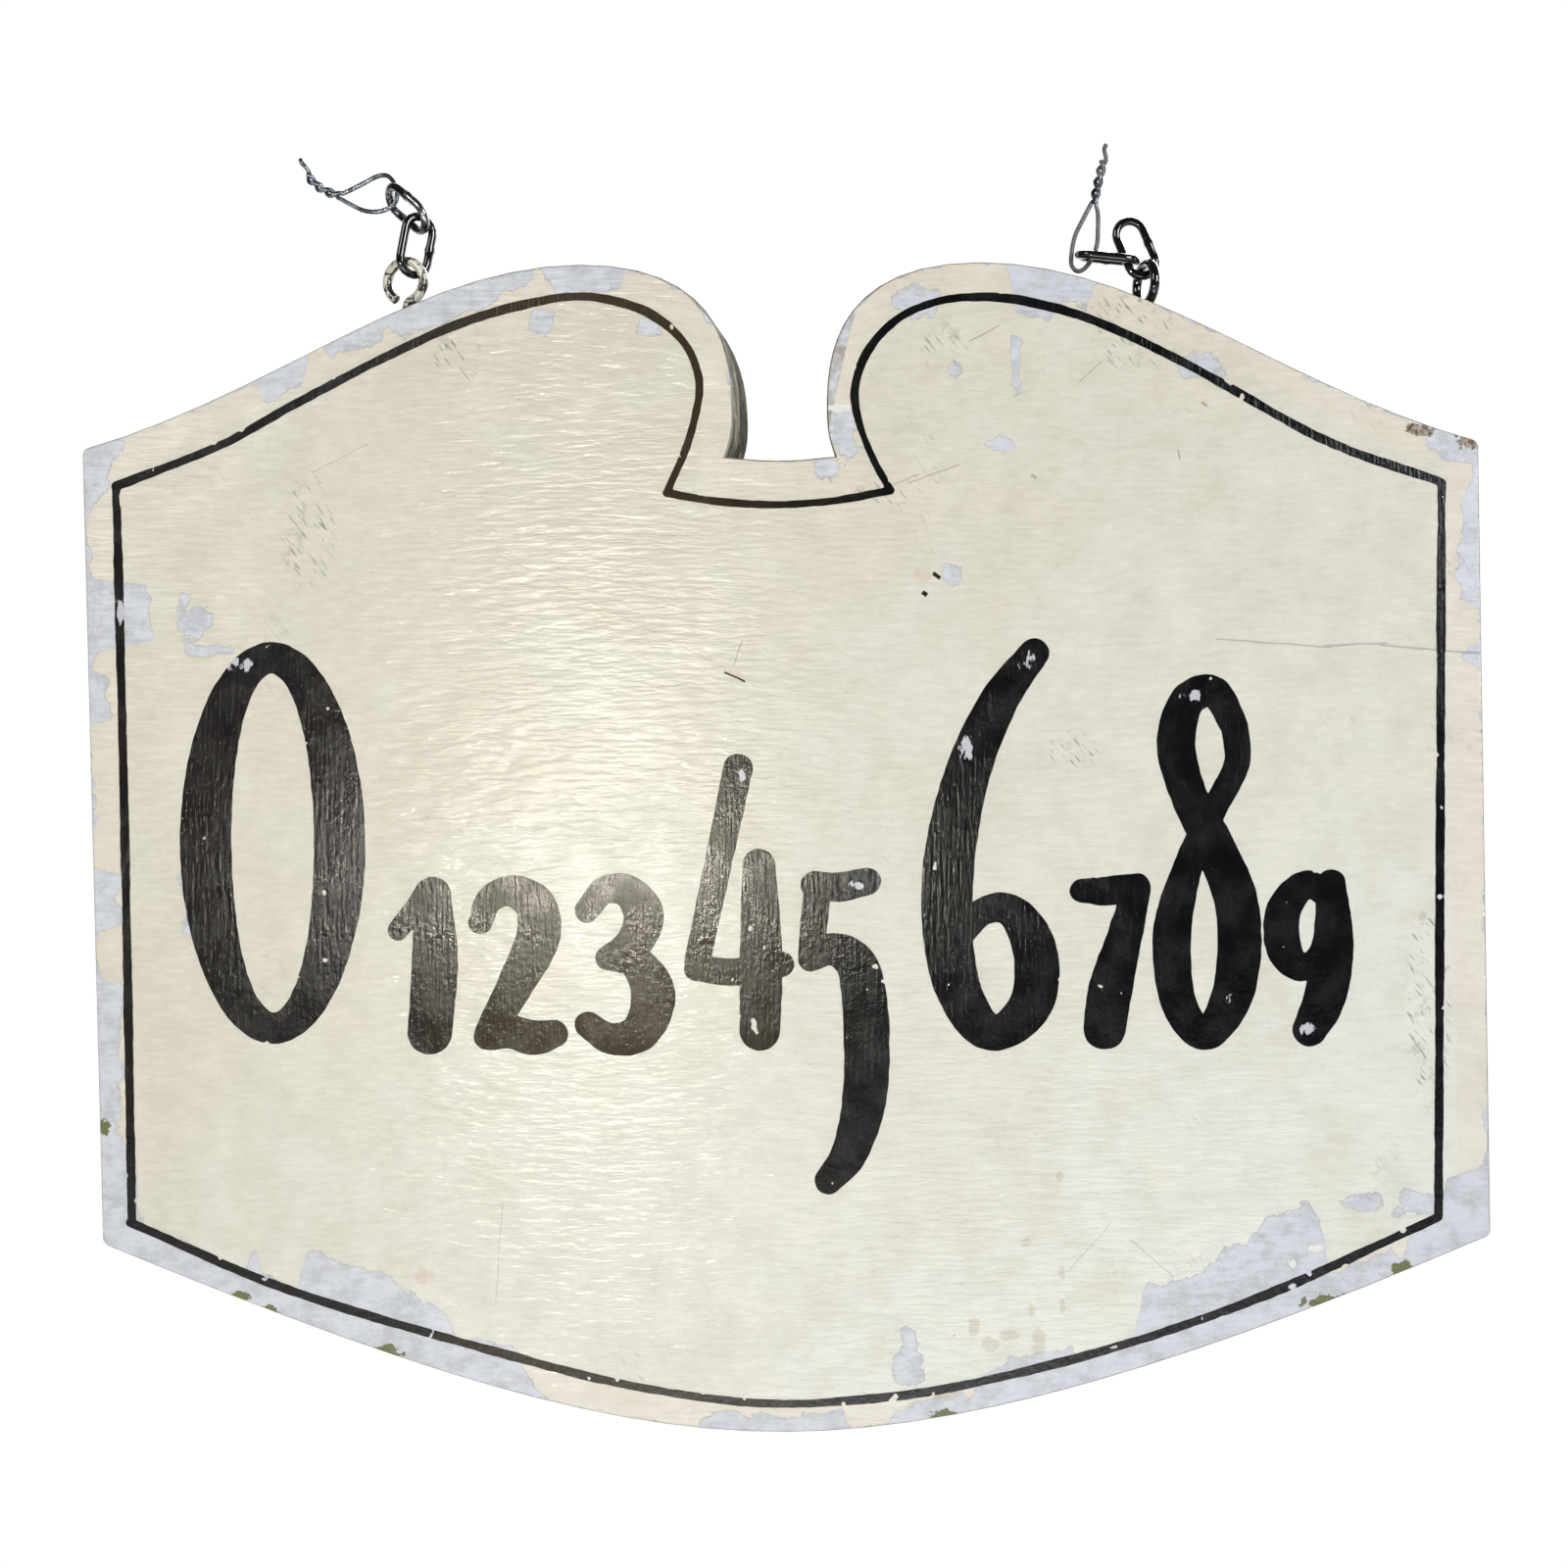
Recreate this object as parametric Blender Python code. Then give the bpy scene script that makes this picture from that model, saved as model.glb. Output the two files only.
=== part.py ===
"""A painted hanging sign: two shaped boards back to back, screwed together from behind, and two hangers on
the top edge. Each hanger is a screw eye, two chain links and a tie wire whose ends are twisted together.

Metres, +Z up, the sign's face towards -Y. The origin is on the line through the centres of the two screw
eyes' rings, above the middle of the top edge, in the plane where the two boards meet.
"""

from collections import namedtuple
from math import cos, hypot, pi, radians, sin

import bmesh
import bpy
from mathutils import Matrix, Vector

# Board outline, as seen from the front
BOARD_WIDTH = 0.762
SIDE_HEIGHT = 0.4335
LEFT_SIDE_LEAN = 0.0085
RIGHT_SIDE_LEAN = 0.004
SHOULDER_SLOPE = 0.28
SHOULDER_REACH = 0.110
CREST_RISE = 0.0994
CREST_SPREAD = 0.109
CREST_OUTER_REACH = 0.090
CREST_INNER_REACH = 0.086
THROAT_WIDTH = 0.0512
THROAT_RISE = 0.016
THROAT_REACH = 0.022
NOTCH_FLOOR_WIDTH = 0.0602
NOTCH_FLOOR_DROP = 0.0062
NOTCH_FLOOR_SAG = 0.0021
NOTCH_SAW_TILT = 0.0043
BELLY_DROP = 0.1051
BELLY_CORNER_SLOPE = 0.42
BELLY_CORNER_REACH = 0.180
BELLY_REACH = 0.100
CORNER_ROUND = 0.003
EDGE_ROUND = 0.0015

# Board thicknesses, and the gap between pieces that touch
FRONT_BOARD_THICKNESS = 0.019
REAR_BOARD_THICKNESS = 0.019
CLEARANCE = 0.0003

# Screws that join the boards, from behind
SCREW_LENGTH = 0.032
SCREW_HEAD_WIDTH = 0.0085
SCREW_HEAD_HEIGHT = 0.0028
SCREW_SHANK_WIDTH = 0.0042
SCREW_ROOT_WIDTH = 0.0030
SCREW_THREAD_PITCH = 0.0024
SCREW_SINK = 0.0004
SCREW_SLOT_WIDTH = 0.0011
SCREW_SLOT_DEPTH = 0.0010
SIDE_SCREW_INSET = 0.081
UPPER_SCREW_DROP = 0.060
CREST_SCREW_DROP = 0.070
LOWER_SCREW_RISE = 0.050
BELLY_SCREW_SPREAD = 0.110
BELLY_SCREW_RISE = 0.050

# Screw eyes: the ring's centre is on the hanging line
HANG_LINE_RISE = 0.0938
EYE_SPACING = 0.4117
EYE_OFFSET = -0.0036
LEFT_EYE_RISE = 0.002
RIGHT_EYE_RISE = -0.002
EYE_RING_WIDTH = 0.028
EYE_WIRE = 0.0055
EYE_NECK_ANGLE = 15
EYE_LENGTH = 0.065
EYE_THREAD_LENGTH = 0.026
EYE_THREAD_PITCH = 0.0026
EYE_ROOT_WIDTH = 0.0039
EYE_TIP_LENGTH = 0.006
TIP_SHARE = 0.12

# Chain links
LINK_LENGTH = 0.037
LINK_WIDTH = 0.0205
LINK_WIRE = 0.0048
LINK_WELD_SWELL = 0.0005
LINK_WELD_REACH = 0.002

# Tie wires
TIE_WIRE = 0.0026
TIE_STRAND_GAP = 0.0006
TIE_TWIST_PITCH = 0.013
LEFT_TWIST_LENGTH = 0.024
LEFT_TAIL_LENGTH = 0.033
RIGHT_TWIST_LENGTH = 0.025
RIGHT_TAIL_LENGTH = 0.038

# How the left hanger lies: angles in degrees, and the tie wire's shape in its own plane
LEFT_EYE_LEAN = -4
LEFT_EYE_TURN = -15
LEFT_HOOK_ANGLE = 45
LEFT_LOWER_LEAN = 11
LEFT_LOWER_TURN = 42
LEFT_UPPER_LEAN = -49
LEFT_UPPER_BACK = 18
LEFT_UPPER_TURN = -72
LEFT_TIE_POINTING = -98
LEFT_TIE_LOOP = [(0.0225, 0.0048), (0.0140, 0.0076), (0.0050, 0.0106), (-0.0010, 0.0094), (-0.0044, 0.0020),
                 (-0.0020, -0.0060), (0.0060, -0.0090), (0.0150, -0.0076), (0.0228, -0.0026)]
LEFT_TWIST_AXIS = [(0.0200, 0.0014), (0.0268, 0.0024), (0.0340, 0.0058), (0.0402, 0.0110), (0.0440, 0.0176),
                   (0.0460, 0.0266), (0.0475, 0.0346)]

# How the right hanger lies
RIGHT_EYE_LEAN = 0
RIGHT_EYE_TURN = -70
RIGHT_HOOK_ANGLE = 0
RIGHT_LOWER_LEAN = -23
RIGHT_LOWER_TURN = 5
RIGHT_UPPER_HOOK_RISE = -0.004
RIGHT_UPPER_POINTING = -84
RIGHT_UPPER_TIP = 80
RIGHT_TIE_POINTING = 14
RIGHT_TIE_SHIFT = 0.001
RIGHT_TIE_LOOP = [(0.0245, 0.0042), (0.0170, 0.0060), (0.0080, 0.0076), (-0.0010, 0.0064), (-0.0070, 0.0036),
                  (-0.0088, 0.0), (-0.0060, -0.0036), (0.0, -0.0049), (0.0095, -0.0054), (0.0185, -0.0036)]
RIGHT_TWIST_AXIS = [(0.0220, 0.0006), (0.0290, 0.0006), (0.0400, 0.0), (0.0520, 0.0),
                    (0.0640, -0.0004), (0.0760, -0.0016)]

# Smoothness
CURVE_STEPS = 14
RING_STEPS = 28
WIRE_SIDES = 10
THREAD_SIDES = 10
THREAD_ROWS = 4
TIE_SIDES = 8
TWIST_STEPS = 40
TWIST_ROWS = 8
LOOP_STEPS = 5
SCREW_SIDES = 8
SEAT_STEP = 0.00002
SEAT_MOVES = 60

FRONT_Y = -FRONT_BOARD_THICKNESS
REAR_Y = REAR_BOARD_THICKNESS
SHOULDER_Z = -HANG_LINE_RISE
SIDE_FOOT_Z = SHOULDER_Z - SIDE_HEIGHT
BELLY_Z = SIDE_FOOT_Z - BELLY_DROP
LINK_REACH = (LINK_LENGTH - LINK_WIRE) / 2

# A bent piece: its object, its centreline, the place of its zero mark and its pose
Bent = namedtuple("Bent", "object route centre pose")


# Scene and materials

def clear_scene():
    for old in list(bpy.data.objects):
        bpy.data.objects.remove(old, do_unlink=True)


def paint(name, colour, roughness, metallic=0.0):
    material = bpy.data.materials.new(name)
    material.use_nodes = True
    shader = material.node_tree.nodes["Principled BSDF"]
    shader.inputs["Base Color"].default_value = (*colour, 1.0)
    shader.inputs["Roughness"].default_value = roughness
    shader.inputs["Metallic"].default_value = metallic
    return material


def add_object(name, mesh_data, material, origin=Vector((0, 0, 0)), smooth=True):
    """Makes an object whose origin is at the given point, from a bmesh in world places."""
    bmesh.ops.recalc_face_normals(mesh_data, faces=mesh_data.faces)
    mesh_data.transform(Matrix.Translation(-origin))
    mesh = bpy.data.meshes.new(name)
    mesh_data.to_mesh(mesh)
    mesh_data.free()
    if smooth:
        mesh.shade_smooth()
        mesh.set_sharp_from_angle(angle=radians(40))
    made = bpy.data.objects.new(name, mesh)
    made.location = origin
    if material:
        mesh.materials.append(material)
    bpy.context.scene.collection.objects.link(made)
    return made


def place_of(piece):
    """Where a piece's origin is, in world places."""
    place = piece.location.copy()
    while piece.parent:
        piece = piece.parent
        place += piece.location
    return place


def carry(child, parent):
    """Parents a piece to the piece that it turns on, and leaves it where it is."""
    child.location = child.location - place_of(parent)
    child.parent = parent


def cut(target, cutter):
    cutter.hide_render = True
    cutter.display_type = "WIRE"
    boolean = target.modifiers.new("cut_by_" + cutter.name, "BOOLEAN")
    boolean.operation = "DIFFERENCE"
    boolean.solver = "EXACT"
    boolean.object = cutter


# Curves

def bezier(start, start_handle, end_handle, end, steps=CURVE_STEPS):
    """Points along a cubic curve, without its last one."""
    points = []
    for k in range(steps):
        t = k / steps
        points.append(start * (1 - t) ** 3 + start_handle * 3 * t * (1 - t) ** 2
                      + end_handle * 3 * t * t * (1 - t) + end * t ** 3)
    return points


def smooth_route(marks, steps):
    """Points along a curve that passes through every mark, with the last mark left out."""
    points = []
    for k in range(1, len(marks) - 2):
        before, start, end, after = marks[k - 1:k + 3]
        points += bezier(start, start + (end - before) / 6, end - (after - start) / 6, end, steps)
    return points


def shoulder_curve():
    """The rising top edge of the right half, from the shoulder to the crest, as four curve points."""
    shoulder = Vector((BOARD_WIDTH / 2, SHOULDER_Z))
    crest = Vector((CREST_SPREAD, SHOULDER_Z + CREST_RISE))
    inward = Vector((-1, SHOULDER_SLOPE)).normalized()
    return shoulder, shoulder + inward * SHOULDER_REACH, crest + Vector((CREST_OUTER_REACH, 0)), crest


def top_half(tilt):
    """Top edge of the right half, from the shoulder to the middle of the notch floor. The notch wall
    stands in by the tilt."""
    shoulder, handle, crest_handle, crest = shoulder_curve()
    throat = Vector((THROAT_WIDTH / 2 - tilt, SHOULDER_Z + THROAT_RISE))
    corner = Vector((NOTCH_FLOOR_WIDTH / 2 - tilt, SHOULDER_Z - NOTCH_FLOOR_DROP))
    floor_middle = Vector((0, corner.y - NOTCH_FLOOR_SAG))
    points = bezier(shoulder, handle, crest_handle, crest)
    above_throat = throat + Vector((0, THROAT_REACH))
    points += bezier(crest, crest - Vector((CREST_INNER_REACH, 0)), above_throat, throat)
    wall_handle = throat - Vector((0, (throat.y - corner.y) / 2))
    points += bezier(throat, wall_handle, corner.lerp(wall_handle, 0.4), corner, 5)
    points += bezier(corner, corner.lerp(floor_middle, 0.4), floor_middle + Vector((corner.x / 2, 0)),
                     floor_middle, 3)
    return points + [floor_middle]


def belly_half(side, lean):
    """Bottom edge of one half, from the lower corner to the middle."""
    corner = Vector((side * BOARD_WIDTH / 2 + lean, SIDE_FOOT_Z))
    inward = Vector((-side, -BELLY_CORNER_SLOPE)).normalized()
    middle = Vector((0, BELLY_Z))
    return bezier(corner, corner + inward * BELLY_CORNER_REACH, middle + Vector((side * BELLY_REACH, 0)),
                  middle) + [middle]


def soften(points):
    """Rounds every corner that turns by more than 40 degrees, unless it is one of the notch's."""
    rounded = []
    for k, point in enumerate(points):
        before = points[k - 1] - point
        after = points[(k + 1) % len(points)] - point
        sharp = before.angle(after) < radians(140) and abs(point.x) > THROAT_WIDTH
        if not sharp:
            rounded.append(point)
            continue
        start = point + before.normalized() * CORNER_ROUND
        end = point + after.normalized() * CORNER_ROUND
        rounded += bezier(start, start.lerp(point, 0.55), end.lerp(point, 0.55), end, 4) + [end]
    return rounded


def outline(depth_share):
    """The sign's outline, anticlockwise from the front. The left notch wall was sawn at a slant, so it
    stands in further at the back."""
    right_top = top_half(0)
    left_top = [Vector((-p.x, p.y)) for p in top_half(NOTCH_SAW_TILT * depth_share)]
    left_belly = belly_half(-1, LEFT_SIDE_LEAN)
    right_belly = belly_half(1, RIGHT_SIDE_LEAN)
    points = left_belly + right_belly[-2::-1] + right_top + left_top[-2::-1]
    return soften(points)


def inset(points, distance):
    """The same outline, moved in by a distance."""
    moved = []
    for k, point in enumerate(points):
        before = (point - points[k - 1]).normalized()
        after = (points[(k + 1) % len(points)] - point).normalized()
        normal = (Vector((-before.y, before.x)) + Vector((-after.y, after.x))).normalized()
        stretch = max(0.5, normal.dot(Vector((-before.y, before.x))))
        moved.append(point + normal * distance / stretch)
    return moved


# Solids

def board(name, near_y, far_y, rounded_near, material):
    """One board, lofted from its near face to its far face. The face that shows has a rounded edge."""
    thickness = FRONT_BOARD_THICKNESS + REAR_BOARD_THICKNESS
    layers = []
    for share in (0.0, 0.3, 1.0):
        distance = EDGE_ROUND * (1 - sin(share * pi / 2))
        layers.append((near_y + EDGE_ROUND * (1 - cos(share * pi / 2)), distance))
    layers.append((far_y, 0))
    if not rounded_near:
        layers = [(near_y + far_y - y, distance) for y, distance in reversed(layers)]
    solid = bmesh.new()
    rings = []
    for y, distance in layers:
        points = inset(outline((y - FRONT_Y) / thickness), distance)
        rings.append([solid.verts.new((p.x, y, p.y)) for p in points])
    count = len(rings[0])
    for near, far in zip(rings, rings[1:]):
        for k in range(count):
            solid.faces.new((near[k], far[k], far[(k + 1) % count], near[(k + 1) % count]))
    solid.faces.new(rings[0])
    solid.faces.new(rings[-1])
    return add_object(name, solid, material)


def sweep(solid, points, radius_at, sides, closed=False, first_side=None):
    """Adds a tube along the points. radius_at(k, angle) is the radius at point k."""
    count = len(points)
    rings = []
    side = first_side
    for k, point in enumerate(points):
        back = points[k - 1] if closed or k > 0 else point
        ahead = points[(k + 1) % count] if closed or k < count - 1 else point
        along = (ahead - back).normalized()
        side = side if side else along.orthogonal()
        side = (side - along * side.dot(along)).normalized()
        up = along.cross(side)
        ring = []
        for j in range(sides):
            angle = 2 * pi * j / sides
            radius = radius_at(k, angle)
            ring.append(solid.verts.new(point + (side * cos(angle) + up * sin(angle)) * radius))
        rings.append(ring)
    pairs = list(zip(rings, rings[1:]))
    if closed:
        pairs.append((rings[-1], rings[0]))
    for near, far in pairs:
        for j in range(sides):
            solid.faces.new((near[j], near[(j + 1) % sides], far[(j + 1) % sides], far[j]))
    if not closed:
        solid.faces.new(rings[0])
        solid.faces.new(rings[-1])


def thread_radius(distance, angle, root, crest, pitch):
    """Radius of a wood screw's thread at a distance from its tip."""
    wave = 0.5 - 0.5 * cos(2 * pi * distance / pitch - angle)
    return root + (crest - root) * wave


# Places and directions on the hangers

def pointing(right, back=0):
    """A direction, in degrees to the right of straight up and backwards from that."""
    return Vector((sin(radians(right)) * cos(radians(back)), sin(radians(back)),
                   cos(radians(right)) * cos(radians(back))))


def facing(turn, tip=0):
    """The way a flat ring faces: forwards, turned to the right and tipped up, in degrees."""
    return Vector((sin(radians(turn)) * cos(radians(tip)), -cos(radians(turn)) * cos(radians(tip)),
                   sin(radians(tip))))


class Pose:
    """Where a flat bent piece lies: its own length direction, the direction across and its face."""

    def __init__(self, along, face):
        self.along = along.normalized()
        self.face = (face - self.along * face.dot(self.along)).normalized()
        self.across = self.along.cross(self.face)

    def place(self, marks, centre):
        return [centre + self.along * m[0] + self.across * m[1] + self.face * m[2] for m in marks]


def nearest_way(route, host):
    """The shortest way from a host wire's centreline to a piece's centreline, from the points of each to
    the stretches of the other."""
    least = Vector((1, 0, 0))
    for points, stretches, sign in ((route, host, 1), (host, route, -1)):
        for point in points:
            for start, end in zip(stretches, stretches[1:]):
                span = end - start
                t = max(0.0, min(1.0, (point - start).dot(span) / span.length_squared))
                way = (point - start - span * t) * sign
                if way.length < least.length:
                    least = way
    return least


def seat(marks, pose, centre, host, distance):
    """Rests a bent piece on a host wire: starts at the centre given, and while some of the piece is nearer
    to the host wire than the distance, moves the piece away from it there."""
    centre = centre.copy()
    for _ in range(SEAT_MOVES):
        way = nearest_way(pose.place(marks, centre), host)
        if way.length >= distance:
            break
        centre += way.normalized() * (distance - way.length + SEAT_STEP)
    print("rests at, mm:", round(way.length * 1000, 2), "of", round(distance * 1000, 2))
    return pose.place(marks, centre), centre


# Screws and their holes

def screw_places():
    """Name and place of each screw, in pairs left and right."""
    side_spread = BOARD_WIDTH / 2 - SIDE_SCREW_INSET
    rows = {
        "upper": (side_spread, SHOULDER_Z - UPPER_SCREW_DROP),
        "crest": (CREST_SPREAD, SHOULDER_Z + CREST_RISE - CREST_SCREW_DROP),
        "lower": (side_spread, SIDE_FOOT_Z + LOWER_SCREW_RISE),
        "belly": (BELLY_SCREW_SPREAD, BELLY_Z + BELLY_SCREW_RISE),
    }
    places = {}
    for row, (spread, z) in rows.items():
        places[row + "_left_screw"] = (-spread, z)
        places[row + "_right_screw"] = (spread, z)
    return places


def screw_profile(grow):
    """Distances in front of the rear face, and radii, of a screw grown by a clearance."""
    sink = SCREW_SINK
    head, shank = SCREW_HEAD_WIDTH / 2 + grow, SCREW_SHANK_WIDTH / 2 + grow
    return [(sink, head), (sink + SCREW_HEAD_HEIGHT + grow, shank)]


def board_screw(name, x, z, slots, material):
    """One flat-head screw, driven forwards from the rear face."""
    head_back, head_front = screw_profile(0)
    tip = SCREW_SINK + SCREW_LENGTH
    thread_start = REAR_BOARD_THICKNESS + CLEARANCE
    rows = [head_back, head_front, (thread_start, SCREW_SHANK_WIDTH / 2)]
    spacing = SCREW_THREAD_PITCH / THREAD_ROWS
    taper = SCREW_THREAD_PITCH * 1.5
    count = int((tip - thread_start) / spacing)
    for k in range(1, count + 1):
        rows.append((thread_start + k * spacing, None))

    def radius_at(k, angle):
        if rows[k][1]:
            return rows[k][1]
        left = tip - rows[k][0]
        radius = thread_radius(left, angle, SCREW_ROOT_WIDTH / 2, SCREW_SHANK_WIDTH / 2, SCREW_THREAD_PITCH)
        return radius * min(1.0, TIP_SHARE + left / taper)

    solid = bmesh.new()
    sweep(solid, [Vector((x, REAR_Y - distance, z)) for distance, _ in rows], radius_at, SCREW_SIDES)
    cut(add_object(name, solid, material), slots)


def screw_slots():
    """Bars that cut the slots in all the screws' heads."""
    bars = bmesh.new()
    size = Matrix.Diagonal((SCREW_HEAD_WIDTH * 1.2, SCREW_SLOT_DEPTH * 2, SCREW_SLOT_WIDTH, 1))
    for x, z in screw_places().values():
        bmesh.ops.create_cube(bars, size=1, matrix=Matrix.Translation((x, REAR_Y - SCREW_SINK, z)) @ size)
    return add_object("screw_slots", bars, None, smooth=False)


def screw_holes():
    """Countersunk holes through the rear board and into the front board."""
    solid = bmesh.new()
    (head_back, head_radius), (head_front, shank_radius) = screw_profile(CLEARANCE)
    tip = SCREW_SINK + SCREW_LENGTH + CLEARANCE
    rows = [(-EDGE_ROUND, head_radius), (head_back, head_radius), (head_front, shank_radius),
            (tip, shank_radius)]
    for x, z in screw_places().values():
        points = [Vector((x, REAR_Y - distance, z)) for distance, _ in rows]
        sweep(solid, points, lambda k, angle: rows[k][1], SCREW_SIDES * 2)
    return add_object("screw_holes", solid, None, smooth=False)


# Screw eyes

def eye_marks():
    """Centreline of a screw eye in its own plane: up the shank from the tip, round the neck's bend and
    round the ring. The ring's centre is at zero."""
    ring = (EYE_RING_WIDTH - EYE_WIRE) / 2
    start = radians(EYE_NECK_ANGLE)
    bend = ring * sin(start) / (1 - sin(start))
    neck = -(ring + bend) * cos(start)
    tip = EYE_RING_WIDTH / 2 - EYE_LENGTH
    marks = []
    spacing = EYE_THREAD_PITCH / THREAD_ROWS
    rows = int(EYE_THREAD_LENGTH / spacing)
    for k in range(rows + 1):
        marks.append((tip + k * spacing, 0.0, 0.0))
    marks.append((tip + EYE_THREAD_LENGTH + EYE_WIRE, 0.0, 0.0))
    for k in range(4):
        angle = pi - k / 3 * (pi / 2 - start)
        marks.append((neck + bend * sin(angle), bend + bend * cos(angle), 0.0))
    neck_marks = [Vector(m) for m in marks[-4:]]
    step = 2 * pi / RING_STEPS
    for k in range(1, RING_STEPS):
        angle = start + k * step
        mark = Vector((-ring * cos(angle), ring * sin(angle), 0.0))
        meets_neck = min((mark - n).length for n in neck_marks) < EYE_WIRE + CLEARANCE * 2
        if angle > pi and meets_neck:
            break
        marks.append(tuple(mark))
    return marks, rows


def ring_mark(angle):
    """A place on the ring's centreline, in degrees from the crown towards the ring's own right side."""
    ring = (EYE_RING_WIDTH - EYE_WIRE) / 2
    return (ring * cos(radians(angle)), ring * sin(radians(angle)), 0.0)


def ring_tangent(pose, angle):
    """Direction of the ring's wire at a place on it."""
    return (pose.across * cos(radians(angle)) - pose.along * sin(radians(angle))).normalized()


def screw_eye(name, boards, centre, pose, material):
    """One screw eye, and the hole that it sits in."""
    marks, thread_rows = eye_marks()
    route = pose.place(marks, centre)
    spacing = EYE_THREAD_PITCH / THREAD_ROWS

    def radius_at(k, angle):
        if k > thread_rows:
            return EYE_WIRE / 2
        distance = k * spacing
        radius = thread_radius(distance, angle, EYE_ROOT_WIDTH / 2, EYE_WIRE / 2, EYE_THREAD_PITCH)
        return radius * min(1.0, TIP_SHARE + distance / EYE_TIP_LENGTH)

    solid = bmesh.new()
    sweep(solid, route, radius_at, THREAD_SIDES, first_side=pose.face)
    made = add_object(name, solid, material)
    hole = eye_hole(name + "_hole", route[0], route[thread_rows + 1:thread_rows + 6], pose)
    for part in boards:
        cut(part, hole)
    return Bent(made, route[thread_rows + 2:], centre, pose)


def eye_hole(name, tip, neck, pose):
    """The hole for a screw eye's shank and for the start of its bend, a clearance wider than the wire."""
    solid = bmesh.new()
    route = [tip - pose.along * CLEARANCE] + neck
    sweep(solid, route, lambda k, angle: EYE_WIRE / 2 + CLEARANCE, THREAD_SIDES * 2, first_side=pose.face)
    return add_object(name, solid, None, smooth=False)


# Chain links

def link_marks():
    """Centreline of a chain link, from the middle of one straight side, once round."""
    bow = (LINK_WIDTH - LINK_WIRE) / 2
    straight = (LINK_LENGTH - LINK_WIDTH) / 2
    turns = RING_STEPS // 3
    marks = []
    for end in (1, -1):
        for share in (-0.33, 0.0, 0.33):
            marks.append((end * straight * share, -end * bow, 0.0))
        for k in range(turns + 1):
            angle = pi * k / turns
            marks.append((end * (straight + bow * sin(angle)), -end * bow * cos(angle), 0.0))
    return marks


def chain_link(name, pose, hook, inward, host, host_wire, own_end_turns, material):
    """A link hooked round a host wire at the hook point. The middle of its hooked end lies inwards from
    there. It turns about the host wire or, if its own end turns, about the middle of its hooked end."""
    marks = link_marks()
    distance = (LINK_WIRE + host_wire) / 2 + CLEARANCE
    route, centre = seat(marks, pose, hook + inward * distance + pose.along * LINK_REACH, host, distance)
    bow = (LINK_WIDTH - LINK_WIRE) / 2

    def radius_at(k, angle):
        from_weld = hypot(marks[k][0], marks[k][1] - bow)
        swell = LINK_WELD_SWELL if from_weld < LINK_WELD_REACH else 0.0
        return LINK_WIRE / 2 + swell

    solid = bmesh.new()
    sweep(solid, route, radius_at, WIRE_SIDES, closed=True, first_side=pose.face)
    hinge = centre - pose.along * LINK_REACH if own_end_turns else hook
    made = add_object(name, solid, material, origin=hinge)
    return Bent(made, route + route[:1], centre, pose)


# Tie wires

def tie_marks(loop, twist, twist_length, tail_length):
    """Centreline of a tie wire: down the longer end, round the loop and back up the shorter end. The loop
    and the twist's axis are given in the wire's own plane."""
    axis = smooth_route([Vector(p) for p in twist], TWIST_STEPS)
    spread = (TIE_WIRE + TIE_STRAND_GAP) / 2
    spacing = TIE_TWIST_PITCH / TWIST_ROWS
    longer, shorter = [], []
    run, next_row = 0.0, 0.0
    for here, ahead in zip(axis, axis[1:]):
        if next_row <= run <= tail_length:
            along = (ahead - here).normalized()
            across = Vector((-along.y, along.x))
            angle = 2 * pi * run / TIE_TWIST_PITCH
            past_twist = max(0.0, run - twist_length)
            side = spread * (1 - min(1.0, past_twist / TIE_TWIST_PITCH))
            place = here + across * side * cos(angle)
            longer.append(Vector((place.x, place.y, side * sin(angle))))
            if not past_twist:
                place = here - across * side * cos(angle)
                shorter.append(Vector((place.x, place.y, -side * sin(angle))))
            next_row += spacing
        run += (ahead - here).length
    hoop = [longer[1], longer[0]] + [Vector((*p, 0.0)) for p in loop] + [shorter[0], shorter[1]]
    return longer[:0:-1] + smooth_route(hoop, LOOP_STEPS) + shorter


def strand_gap(marks):
    """Least gap between parts of a wire that are further apart along it than half a twist."""
    runs = [0.0]
    for here, ahead in zip(marks, marks[1:]):
        runs.append(runs[-1] + (ahead - here).length)
    least = 1.0
    for k, mark in enumerate(marks):
        for j in range(k + 1, len(marks)):
            if runs[j] - runs[k] > TIE_TWIST_PITCH / 2:
                least = min(least, (mark - marks[j]).length)
    return least - TIE_WIRE


def tie_wire(name, pose, hook, host, marks, material):
    """A tie wire whose loop goes round the host wire at the hook point."""
    distance = (LINK_WIRE + TIE_WIRE) / 2 + CLEARANCE
    route, centre = seat(marks, pose, hook, host, distance)
    solid = bmesh.new()
    sweep(solid, route, lambda k, angle: TIE_WIRE / 2, TIE_SIDES)
    made = add_object(name, solid, material, origin=hook)
    print(name, "least gap to itself, mm:", round(strand_gap(marks) * 1000, 2))
    return Bent(made, route, centre, pose)


# Hangers

def far_end(link):
    return link.centre + link.pose.along * LINK_REACH


def tell_hinge(piece, axis):
    place = ", ".join(f"{v:.5f}" for v in place_of(piece.object))
    way = ", ".join(f"{v:.5f}" for v in axis)
    print("hinge of", piece.object.name, "at", place, "axis", way)


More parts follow.
